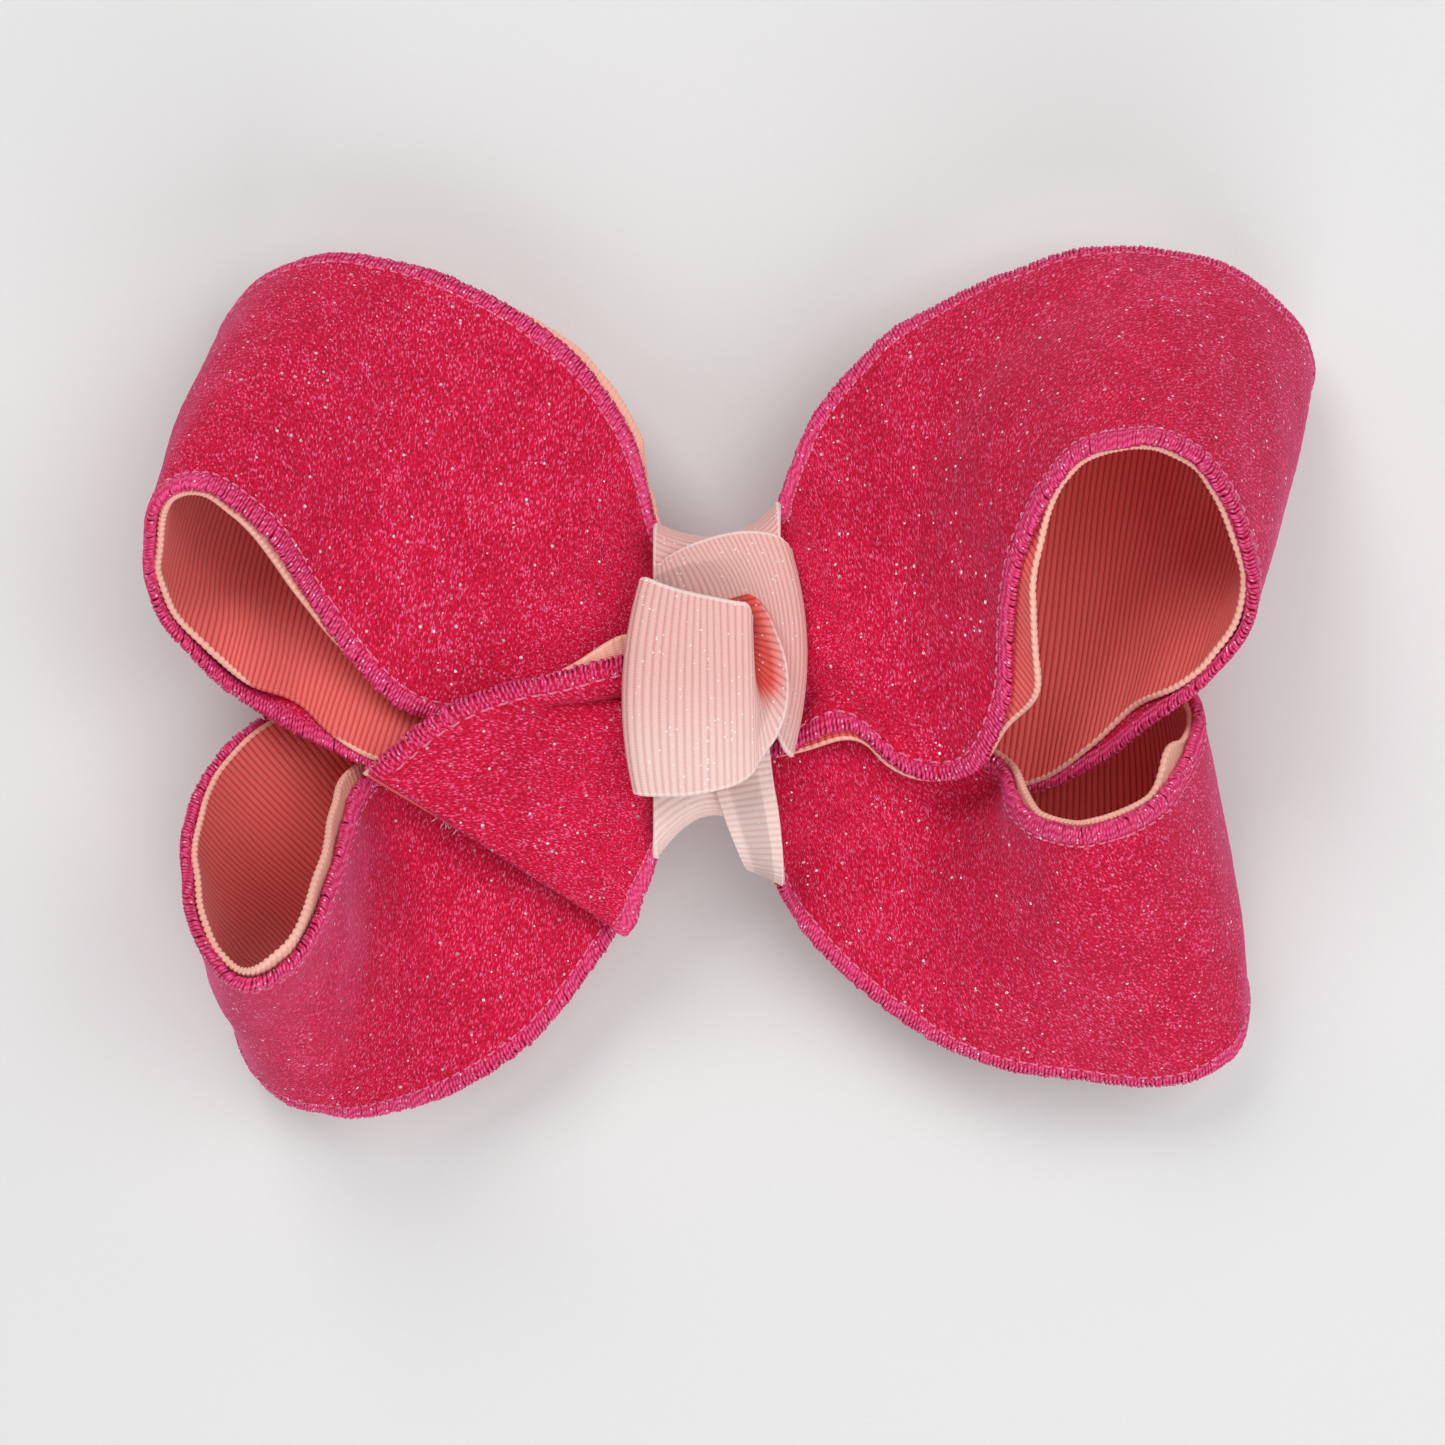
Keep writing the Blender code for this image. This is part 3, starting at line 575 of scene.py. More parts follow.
class Ribbon:
    """A length of ribbon in the air. Places on it are millimetres along and across it.

    inward is the side that the lining is on, +1 or -1 along the surface's own normal. shape
    takes along and across, and says how far the cloth stands out from the plain surface. A rung
    may have a third entry, how far its middle bends off the straight line between its ends."""

    def __init__(self, rungs, inward, width, shape=None, droop=0.0, soften=0):
        self.inward = inward
        self.width = width
        straight = (0.0, 0.0, 0.0)
        rungs = [rung[0] + rung[1] + (rung[2] if len(rung) > 2 else straight) for rung in rungs]
        ladder = spline(rungs, 400)
        steps = np.linalg.norm(np.diff(ladder.reshape(-1, 3, 3), axis=0), axis=2)
        self.cut_length = float(steps[:, :2].sum(axis=0).mean())
        self.rows = int(self.cut_length / GRID_STEP) + 2
        self.columns = int(width / GRID_STEP) + 1
        ladder = softened(spline(rungs, self.rows), soften)
        along = np.linspace(0, self.cut_length, self.rows)[:, None]
        across = np.linspace(0, width, self.columns)[None, :]
        outer, inner, bend = ladder[:, None, :3], ladder[:, None, 3:6], ladder[:, None, 6:]
        chord = np.linalg.norm(inner - outer, axis=2)
        zone = np.minimum(EDGE_ZONE, chord / 4)
        middle_share = (across - EDGE_ZONE) / (width - 2 * EDGE_ZONE)
        reach = np.where(
            across < EDGE_ZONE,
            across * zone / EDGE_ZONE,
            np.where(
                across > width - EDGE_ZONE,
                chord - (width - across) * zone / EDGE_ZONE,
                zone + middle_share * (chord - 2 * zone),
            ),
        )
        plain = outer + (inner - outer) / chord[..., None] * reach[..., None]
        share = across / width
        plain = plain + bend * (4 * share * (1 - share))[..., None]
        plain[..., 2] -= droop * (along / self.cut_length) ** 2 * 4 * share * (1 - share)
        if shape is not None:
            lift = shape(along + 0 * across, across + 0 * along)
            plain = plain - facing_of(plain) * (inward * lift)[..., None]
        self.points = plain
        self.facing = facing_of(plain)

    def at(self, along, across):
        """(points, normals) at these places, which may lie a little beyond the ribbon's edge."""
        row = np.asarray(along) / self.cut_length * (self.rows - 1)
        column = np.asarray(across) / self.width * (self.columns - 1)
        i = np.clip(row.astype(int), 0, self.rows - 2)
        j = np.clip(column.astype(int), 0, self.columns - 2)
        a, b = (row - i)[..., None], (column - j)[..., None]

        def between(field):
            near = field[i, j] * (1 - a) + field[i + 1, j] * a
            far = field[i, j + 1] * (1 - a) + field[i + 1, j + 1] * a
            return near * (1 - b) + far * b

        return between(self.points), unit(between(self.facing))


print("a ribbon is measured every", GRID_STEP, "mm")

# %% [markdown]
# ## Folds, pleats and the cloth's own unevenness
#
# Cloth is never as even as a curve. Five small things are added: the whole sheet is faintly
# uneven, a ribbon squeezed between its edges bows outwards, it pleats where the knot pinches it,
# its edges ripple where the stitching pulls, and here and there a fold crosses it. They could be
# sculpted by hand, but plain curves and sines come out the same every time.

# %% Shapes that lift the cloth
RIBBON_WIDTH = 40.0
PINCH_REACH = 9.0
LOOP_SOFTENING = 4


def valley(along, across, start, end, depth, reach):
    """A rounded fold from start to end, both (along, across). A negative depth makes a ridge."""
    step = np.array(end, float) - np.array(start, float)
    t = ((along - start[0]) * step[0] + (across - start[1]) * step[1]) / (step @ step)
    t = np.clip(t, 0, 1)
    away = np.hypot(along - start[0] - t * step[0], across - start[1] - t * step[1])
    return -depth * np.exp(-((away / reach) ** 2))


def cloth_shape(length, seed, folds, bow, loops):
    """The lift of one ribbon of that length, as a function of along and across."""
    draw = np.random.default_rng(seed)
    phases = draw.uniform(0, TURN, 8)

    def lift(along, across):
        share = across / RIBBON_WIDTH
        edge = np.abs(2 * share - 1) ** 6
        ends = np.exp(-((along / PINCH_REACH) ** 2))
        if loops:
            ends = ends + np.exp(-(((length - along) / PINCH_REACH) ** 2))
        uneven = 0.15 * np.sin(TURN * (along / 17 + across / 41) + phases[0])
        uneven = uneven + 0.07 * np.sin(TURN * (along / 11 - across / 23) + phases[1])
        uneven = uneven + 0.03 * np.sin(TURN * (along / 6.3 + across / 15) + phases[2])
        ripple = 0.08 * np.sin(TURN * along / 8.7 + phases[3] + 0.8 * np.sin(along / 9 + phases[4]))
        ripple = ripple + 0.015 * np.sin(TURN * along / 4.6 + phases[5])
        pleats = 0.42 * np.cos(TURN * 3 * share + phases[6]) * ends
        total = bow * 4 * share * (1 - share) + (1 - ends) * (uneven + edge * ripple) + pleats
        for start, end, depth, reach in folds:
            total = total + valley(along, across, start, end, depth, reach)
        return total

    return lift


FOLDS = {
    "loop_upper_right": [((4, 30), (22, 36), 1.8, 4.0), ((30, 22), (60, 12), 0.8, 6.0)],
    "loop_lower_right": [((12, 3), (34, 37), 3.4, 5.0), ((40, 4), (56, 30), -0.9, 6.0)],
    "loop_upper_left": [((10, 8), (30, 20), 0.7, 6.0)],
    "loop_lower_left": [((16, 6), (38, 30), 0.9, 6.0)],
    "tail": [((0, 10.5), (15, 5), 1.8, 1.7), ((2, 16), (14, 12), -0.6, 3.0)],
}
RUNGS = {
    "loop_upper_right": (UPPER_RIGHT, 1),
    "loop_lower_right": (LOWER_RIGHT, -1),
    "loop_upper_left": (UPPER_LEFT, -1),
    "loop_lower_left": (LOWER_LEFT, 1),
    "tail": (TAIL, -1),
}

ribbons = {}
for seed, (place, (rungs, inward)) in enumerate(RUNGS.items()):
    plain = Ribbon(rungs, inward, RIBBON_WIDTH)
    is_loop = place != "tail"
    soften = LOOP_SOFTENING if is_loop else 0
    shape = cloth_shape(plain.cut_length, seed, FOLDS[place], 0.9 if is_loop else 0.0, is_loop)
    droop = 0.0 if is_loop else TAIL_DROOP
    ribbons[place] = Ribbon(rungs, inward, RIBBON_WIDTH, shape, droop, soften)
    print(place, "is cut from", round(ribbons[place].cut_length), "mm of ribbon")

# %% [markdown]
# ## From a middle surface to cloth
#
# A sheet of cloth is two skins that meet at its long edges. Each row of the mesh is one ring:
# over the top, round the edge and back underneath. That closes the solid with no stray faces,
# and the cloth map keeps how far along and across each point is, for the finishes.

# %% Meshes
def mesh_piece(name, points, faces, finish, cloth):
    """A smooth mesh from points in millimetres, its faces turned outwards."""
    mesh = bpy.data.meshes.new(name)
    mesh.from_pydata((np.asarray(points) * MM).tolist(), [], faces)
    corner = np.empty(len(mesh.loops), np.int32)
    mesh.loops.foreach_get("vertex_index", corner)
    layer = mesh.uv_layers.new(name=CLOTH_MAP)
    layer.data.foreach_set("uv", (np.asarray(cloth)[corner] * MM).astype(np.float32).ravel())
    work = bmesh.new()
    work.from_mesh(mesh)
    bmesh.ops.recalc_face_normals(work, faces=work.faces)
    if work.calc_volume(signed=True) < 0:
        bmesh.ops.reverse_faces(work, faces=work.faces)
    work.to_mesh(mesh)
    work.free()
    mesh.materials.append(finish)
    mesh.shade_smooth()
    made = bpy.data.objects.new(name, mesh)
    bpy.context.scene.collection.objects.link(made)
    return made


def stands_for(piece, node):
    """Puts a new piece of the bow in a packed node's place: the node is hidden, and the piece joins
    the bow.
    """
    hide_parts(node)
    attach(piece, "bow")


def rings_to_faces(rows, ring):
    """Quads between neighbouring rings, each of which closes on itself."""
    i = np.arange(rows - 1)[:, None] * ring
    k = np.arange(ring)[None, :]
    n = (k + 1) % ring
    quads = np.stack([i + k, i + n, i + ring + n, i + ring + k], axis=-1)
    return quads.reshape(-1, 4).tolist()


def sheet_ends(rows, columns, ring):
    """The two flat end faces of a closed sheet, as quads with a triangle at each side."""
    faces = []
    for start in (0, (rows - 1) * ring):
        for j in range(columns - 1):
            over, under = start + j, start + (ring - j) % ring
            after, below = start + j + 1, start + ring - j - 1
            corners = [over, after, below, under]
            faces.append(list(dict.fromkeys(corners)))
    return faces


def cloth_piece(name, ribbon, along, across, thickness, offset, finish, relief=None, counted=None):
    """A closed sheet over those places of a ribbon.

    offset is how far the sheet's middle lies towards the lining's side. relief takes along and
    across, and says how far the skin stands out there on both faces. counted is what the cloth
    map says for across, where that isn't the distance from the ribbon's middle line."""
    along, across = np.broadcast_arrays(along, across)
    points, facing = ribbon.at(along, across)
    rows, columns = along.shape
    from_edge = np.minimum(across - across[:, :1], across[:, -1:] - across)
    round_off = np.sqrt(np.clip(1 - (1 - np.clip(from_edge / thickness, 0, 1)) ** 2, 0, 1))
    lift = thickness / 2 if relief is None else thickness / 2 + relief(along, across)
    lift = (lift * round_off)[..., None]
    away = offset if np.ndim(offset) == 0 else offset[..., None]
    base = points + facing * (ribbon.inward * away)
    over, under = base + facing * lift, base - facing * lift
    ring = np.concatenate([over, under[:, -2:0:-1]], axis=1)
    if counted is None:
        counted = across - ribbon.width / 2
    cloth = np.stack(np.broadcast_arrays(along, counted), axis=-1)
    cloth = np.concatenate([cloth, cloth[:, -2:0:-1]], axis=1)
    faces = rings_to_faces(rows, ring.shape[1]) + sheet_ends(rows, columns, ring.shape[1])
    return mesh_piece(name, ring.reshape(-1, 3), faces, finish, cloth.reshape(-1, 2))


print("a strip of 3 rows by 4 has", len(rings_to_faces(3, 6) + sheet_ends(3, 4, 6)), "faces")

# %% [markdown]
# ## Velvet
#
# The pile hides every thread, so the velvet's skin needs only the cloth's shape and a slight
# nap. The long edges are left a little short of the ribbon's full width, because the stitching
# wraps round them.

# %% Velvet on each loop and the cut end
VELVET_THICKNESS = 0.9
VELVET_STEP, VELVET_COLUMNS = 0.8, 40
STITCHED_EDGE = 0.55


def nap(along, across):
    """The pile lies in faint rows, never quite level."""
    rows = np.sin(TURN * (along / 1.9 + across / 7.3)) * np.sin(TURN * (across / 2.3 - along / 9.1))
    return 0.035 * rows


def spread_places(length, step, width, inset, columns):
    """(along, across) over a ribbon, close together at its edges."""
    rows = int(length / step) + 1
    along = np.linspace(0, length, rows)[:, None]
    near = np.array([0, 0.12, 0.3, 0.6, 1.1])
    middle = np.linspace(2, width - 2 * inset - 2, columns)
    across = np.concatenate([near, middle, width - 2 * inset - near[::-1]]) + inset
    return along, across[None, :]


velvets = {}
for place, ribbon in ribbons.items():
    along, across = spread_places(
        ribbon.cut_length, VELVET_STEP, RIBBON_WIDTH, STITCHED_EDGE, VELVET_COLUMNS
    )
    made = cloth_piece(
        f"pile_{place}", ribbon, along, across, VELVET_THICKNESS, 0.0, VELVET, nap
    )
    stands_for(made, f"velvet_{place}")
    velvets[place] = made
    print(made.name, len(made.data.vertices), "points")

# %% [markdown]
# ## Lining
#
# The lining is a second ribbon, just over a millimetre narrower, held by the same stitching. Its
# cords are real ridges in the mesh, one every 0.72 mm. It isn't glued down, so it buckles from
# the velvet inside each loop, and at the mouths its woven edge peeps out past the stitching.

# %% Ribs and a beaded selvedge
RIB_HEIGHT = 0.13
PER_RIB = 6
SELVEDGE = 0.5
NEAR_SELVEDGE = np.array([0, 0.1, 0.25, 0.45, 0.7, 1.0])
PAST_SELVEDGE = 1.6
RIBBED_COLUMNS = 16


def ribs(edge_low, edge_high, height=RIB_HEIGHT):
    """Rounded cords across the ribbon with narrow grooves between, and beads at its two edges."""

    def relief(along, across):
        cord = np.abs(np.sin(math.pi * along / RIB_PITCH)) ** 0.6
        inside = np.minimum(across - edge_low, edge_high - across)
        bead = np.exp(-(((inside - SELVEDGE / 2) / (SELVEDGE / 2)) ** 2))
        return height * cord * (1 + 0.7 * bead) + 0.02 * bead

    return relief


def rib_places(length):
    count = int(length / RIB_PITCH)
    return np.linspace(0, count * RIB_PITCH, count * PER_RIB + 1)


def swell(along, spots):
    """Adds rounded bumps to a line: each spot is (middle, half width, height), along the ribbon."""
    total = 0 * along
    for middle, half, height in spots:
        total = total + height * np.exp(-(((along - middle) / half) ** 2))
    return total


# %% Lining of each loop and the cut end
LINING_THICKNESS = 0.40
LINING_OFFSET = 0.86
LINING_PEEPS = {
    "loop_upper_right": {
        "inner": [(12, 6, 1.5), (43, 8, 3.4), (36, 4.5, 2.6), (114, 5.5, -2.6)],
        "outer": [],
    },
    "loop_lower_right": {"inner": [(40, 7, 1.0), (58, 12, 0.75), (71, 3.4, 2.4)], "outer": []},
    "loop_upper_left": {"inner": [(52, 14, 1.1), (104, 4.5, -2.2)], "outer": [(27, 22, 2.0)]},
    "loop_lower_left": {"inner": [(46, 8, 2.0), (58, 8, 1.8), (69, 7, 1.9)], "outer": []},
    "tail": {"inner": [], "outer": [(8, 4, 2.6)]},
}
CUT_PEEP = 0.9
ROUGH_WIDTH = 38
NARROW_SELVEDGE = ("loop_upper_right",)
LINING_BUCKLES = {
    "loop_upper_right": [(101, 31, 5, 6, 0.7)],
    "loop_upper_left": [(95, 33, 6, 7, 2.0)],
}


def buckles(place, along, across):
    """Rounded bumps in a lining: each is (along, across, half length, half width, height)."""
    total = 0 * along * across
    for middle, out, length, width, height in LINING_BUCKLES.get(place, []):
        away = ((along - middle) / length) ** 2 + ((across - out) / width) ** 2
        total = total + height * np.exp(-away)
    return total


linings = {}
for place, ribbon in ribbons.items():
    inset = (RIBBON_WIDTH - LINING_WIDTH) / 2
    length = ribbon.cut_length
    along = rib_places(length + (CUT_PEEP if place == "tail" else 0))[:, None]
    near, inner = NEAR_SELVEDGE / ROUGH_WIDTH, PAST_SELVEDGE / ROUGH_WIDTH
    middle = np.linspace(inner, 1 - inner, RIBBED_COLUMNS)
    share = np.concatenate([near, middle, 1 - near[::-1]])
    low = inset - swell(along, LINING_PEEPS[place]["outer"])
    high = RIBBON_WIDTH - inset + swell(along, LINING_PEEPS[place]["inner"])
    across = low + (high - low) * share[None, :]
    from_waist = np.exp(-((along / 10) ** 2)) + np.exp(-(((length - along) / 10) ** 2))
    slack = 0.25 * np.sin(TURN * along / 23) * np.sin(TURN * across / 55)
    loose = (1 - np.clip(from_waist, 0, 1)) * np.abs(slack)
    offset = LINING_OFFSET + loose + buckles(place, along, across)
    own_width = (share[None, :] - 0.5) * LINING_WIDTH
    made = cloth_piece(
        f"grosgrain_{place}", ribbon, along, across, LINING_THICKNESS, offset, LINING,
        ribs(across[:, :1], across[:, -1:]), own_width if place in NARROW_SELVEDGE else None,
    )
    stands_for(made, f"lining_{place}")
    linings[place] = made
    print(made.name, "has", int(length / RIB_PITCH), "ribs")

# %% [markdown]
# ## Fraying at the cut
#
# The cut end wasn't sealed, so a few fine threads of the lining have come loose in three tufts.
# Each is a thin bent tube that starts inside the cut.

# %% Loose threads
FRAY_TUFTS = ((12.5, 9, 1.3), (29.0, 7, 0.9), (33.5, 5, 0.7))
FRAY_RADIUS = 0.055
FRAY_ROOT = 0.3
FRAY_SEED = 90


def fray(ribbon):
    draw = np.random.default_rng(FRAY_SEED)
    meshes = []
    for across, count, longest in FRAY_TUFTS:
        for _ in range(count):
            start = across + draw.normal(0, 0.9)
            length = longest * draw.uniform(0.5, 1.0)
            lean, lift = draw.normal(0, 0.7), draw.normal(0.1, 0.3)
            t = np.linspace(0, 1, 8)
            along = ribbon.cut_length - FRAY_ROOT + (length + FRAY_ROOT) * t
            points, facing = ribbon.at(along, start + lean * length * t**2)
            rise = lift * length * t**2 - LINING_OFFSET
            route = points - facing * (ribbon.inward * rise)[:, None]
            meshes.append(tube_mesh(route, facing, FRAY_RADIUS * (1 - 0.5 * t), 5))
    points, faces, cloth = joined(meshes)
    made = mesh_piece("fray_tail", points, faces, WHITE_THREAD, cloth)
    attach(made, "bow")


# %% [markdown]
# ## Overlocked edges
#
# An overlock stitch wraps thread round the raw edge of both ribbons. The real thread is one long
# spiral that lies slanted on the face and hugs the edge, so it is made as that: a point runs
# round a flat oval while it moves along the edge, and a thin tube follows it. Every turn is a
# little different in reach and spacing, as a machine's tension leaves it.

# %% A tube along a route
def travelled(route):
    """How far along a route each of its points is."""
    steps = np.linalg.norm(np.diff(route, axis=0), axis=1)
    return np.concatenate([[0], np.cumsum(steps)])


def tube_mesh(route, outward, radius, sides):
    """(points, faces, cloth map) of a tube. outward is a direction at each point, off the route."""
    route = np.asarray(route, float)
    forward = unit(np.gradient(route, axis=0))
    side = unit(np.cross(forward, outward))
    up = np.cross(side, forward)
    angle = TURN * np.arange(sides) / sides
    cosine, sine = np.cos(angle)[None, :, None], np.sin(angle)[None, :, None]
    spokes = side[:, None] * cosine + up[:, None] * sine
    points = route[:, None] + spokes * np.reshape(radius, (-1, 1, 1))
    turned = ONCE_ROUND * angle[None, :] / TURN
    cloth = np.stack(np.broadcast_arrays(travelled(route)[:, None], turned), axis=-1)
    faces = rings_to_faces(len(route), sides)
    faces.append(list(range(sides))[::-1])
    faces.append(list(range((len(route) - 1) * sides, len(route) * sides)))
    return points.reshape(-1, 3), faces, cloth.reshape(-1, 2)


STITCH_PITCH = 0.38
STITCH_THREAD = 0.19
STITCH_MIDDLE = 1.10
STITCH_REACH = 0.94
STITCH_RISE = 0.50
PER_STITCH = 12
NEEDLE_LINE = 2.15
NEEDLE_PITCH = 1.3
NEEDLE_RADIUS = 0.13
NEEDLE_DASH, DASH_POINTS = 0.62, 6
STITCH_SLANT = 0.28
FIRST_STITCH_SEED = 40


def joined(meshes):
    """One (points, faces, cloth map) from several."""
    faces, first = [], 0
    for points, own, _ in meshes:
        faces += [[k + first for k in face] for face in own]
        first += len(points)
    return np.concatenate([m[0] for m in meshes]), faces, np.concatenate([m[2] for m in meshes])


def overlock(place, ribbon, side, seed):
    """One edge's spiral of thread round the velvet, with the needle's row of dashes inside it."""
    draw = np.random.default_rng(seed)
    turns = int(ribbon.cut_length / STITCH_PITCH)
    theta = np.linspace(0, TURN * turns, turns * PER_STITCH + 1)
    turn = np.minimum((theta / TURN).astype(int), turns - 1)
    part = theta / TURN - turn
    later = np.minimum(turn + 1, turns - 1)

    def uneven(amount):
        each = draw.normal(0.0, amount, turns)
        return each[turn] * (1 - part) + each[later] * part

    def from_edge(distance):
        return distance if side == "outer" else ribbon.width - distance

    along = STITCH_PITCH * (theta / TURN + STITCH_SLANT * np.sin(theta)) + uneven(0.07)
    along = np.clip(along, 0, ribbon.cut_length)
    inside = STITCH_MIDDLE + uneven(0.05) - STITCH_REACH * (1 + uneven(0.07)) * np.cos(theta)
    flat_sine = np.sign(np.sin(theta)) * np.abs(np.sin(theta)) ** 0.6
    points, facing = ribbon.at(along, from_edge(inside))
    middle, _ = ribbon.at(along, from_edge(np.full_like(along, STITCH_MIDDLE)))
    route = points - facing * (ribbon.inward * STITCH_RISE * flat_sine)[:, None]
    meshes = [tube_mesh(route, unit(route - middle), STITCH_THREAD * (1 + uneven(0.10)), 5)]
    for k in range(int(ribbon.cut_length / NEEDLE_PITCH)):
        start = (k + 0.25) * NEEDLE_PITCH + draw.normal(0, 0.06)
        dash = start + np.linspace(0, NEEDLE_DASH * NEEDLE_PITCH, DASH_POINTS)
        points, facing = ribbon.at(dash, from_edge(np.full(DASH_POINTS, NEEDLE_LINE)))
        rise = 0.36 + 0.17 * np.sin(np.linspace(0, math.pi, DASH_POINTS))
        route = points - facing * (ribbon.inward * rise)[:, None]
        radius = np.full(DASH_POINTS, NEEDLE_RADIUS)
        dash_mesh = tube_mesh(route, -facing * ribbon.inward, radius, 5)
        meshes.append((*dash_mesh[:2], dash_mesh[2] + (0, NEEDLE_THREAD_MARK)))
    points, faces, cloth = joined(meshes)
    made = mesh_piece(f"overlock_{place}_{side}", points, faces, EDGE_THREAD, cloth)
    stands_for(made, f"edge_stitch_{place}_{side}")


fray(ribbons["tail"])
seed = FIRST_STITCH_SEED
for place, ribbon in ribbons.items():
    for side in ("outer", "inner"):
        overlock(place, ribbon, side, seed)
        seed += 1
    print(place, "edges have", int(ribbon.cut_length / STITCH_PITCH), "stitches each")

# %% [markdown]
# ## The knot
#
# A narrower grosgrain ribbon wraps the waist, crosses itself and is rolled over at the front.
# Five lengths of it show. Each is again a ladder of rungs, ribbed like the lining, and only
# the face has its far side turned up into a hollow curl.

# %% The wraps over the top and under the bottom of the waist
WRAP_LEFT, WRAP_RIGHT, LOWER_WRAP_RIGHT = -6.6, 7.0, 5.2
UPPER_WRAP = [
    (0.3, 22.2), (7, 22.2), (13, 22.0), (16.0, 20.8), (17.2, 18), (17.2, 13.5),
    (15.4, 9), (10.5, 6.6), (5.2, 5.2), (0.3, 5.1),
]
UPPER_FLARE = (1.6, 4.0)
LOWER_WRAP = [
    (-0.3, 22.2), (-5, 22.2), (-8.4, 22.0), (-11.0, 20.8), (-12.0, 18), (-12.0, 12.5),
    (-11.2, 9), (-9, 6.8), (-5.2, 5.2), (-0.3, 5.1),
]
LOWER_FLARE = (5.0, 6.5)


class Wrap(Ribbon):
    """Ribbon round one side of the waist. Its (y, z) profile spreads out towards both edges."""

    def __init__(self, profile, side, flare, width, right=WRAP_RIGHT):
        self.width = width
        self.inward = -side
        line = spline(profile, 120)
        self.cut_length = float(np.linalg.norm(np.diff(line, axis=0), axis=1).sum())
        self.rows, self.columns = len(line), 2 * int(width / GRID_STEP) + 1
        x = np.linspace(WRAP_LEFT, right, self.columns)[None, :]
        spread = np.where(x < 0, flare[0] * (x / WRAP_LEFT) ** 2, flare[1] * (x / WRAP_RIGHT) ** 2)
        reach = np.clip(np.abs(line[:, :1]) / 12, 0, 1) ** 2
        crumple = 0.10 * np.sin(TURN * x / 4.1 + line[:, :1] / 3)
        y = line[:, :1] + side * spread * reach
        z = line[:, 1:] + crumple + 0 * x
        self.points = np.stack([x + 0 * y, y, z], axis=-1)
        self.facing = facing_of(self.points)


KNOT_THICKNESS, KNOT_RIB_HEIGHT = 0.42, 0.09
knot_pieces = {}


def knot_piece(name, ribbon, node, finish=KNOT_RIBBON):
    along = rib_places(ribbon.cut_length)[:, None]
    middle = np.linspace(PAST_SELVEDGE, ribbon.width - PAST_SELVEDGE, RIBBED_COLUMNS)
    edge = ribbon.width - NEAR_SELVEDGE[::-1]
    across = np.concatenate([NEAR_SELVEDGE, middle, edge])[None, :]
    relief = ribs(0, ribbon.width, KNOT_RIB_HEIGHT)
    made = cloth_piece(name, ribbon, along, across, KNOT_THICKNESS, 0.0, finish, relief)
    stands_for(made, node)
    knot_pieces[name] = (made, ribbon.cut_length)
    print(name, "is", round(ribbon.cut_length), "mm of ribbon")
    return made


upper_wrap = Wrap(UPPER_WRAP, 1, UPPER_FLARE, KNOT_WIDTH)
lower_wrap = Wrap(LOWER_WRAP, -1, LOWER_FLARE, KNOT_WIDTH, LOWER_WRAP_RIGHT)
knot_piece("knot_wrap_upper", upper_wrap, "knot_tail_upper")
knot_piece("knot_wrap_lower", lower_wrap, "knot_tail_lower", KNOT_RIBBON_PAINTED_LIGHT)

# %% The band over the top, and the rolled face
CROSS_BAND = [
    ((-6.5, 14.0, 22.8), (-6.6, 9.5, 23.2), (0, 0, 0)),
    ((-5.0, 15.2, 23.0), (-3.0, 9.2, 24.0), (0, 0.2, 0.2)),
    ((-2.6, 16.5, 23.1), (1.8, 7.6, 24.6), (0.3, 0.5, 0.3)),
    ((0.0, 17.4, 23.0), (4.4, 3.6, 24.8), (0.9, 0.9, 0.3)),
    ((2.6, 17.9, 22.8), (5.8, -0.6, 24.7), (1.5, 0.8, 0.2)),
    ((5.0, 17.9, 22.5), (6.6, -3.8, 24.3), (1.9, 0.4, 0)),
    ((6.8, 17.4, 22.0), (7.3, -5.4, 23.6), (2.0, 0, -0.2)),
    ((7.8, 16.2, 21.2), (7.9, -6.0, 22.6), (1.7, 0, -0.3)),
    ((8.1, 14.8, 20.0), (8.0, -6.2, 21.3), (1.4, 0, -0.3)),
]
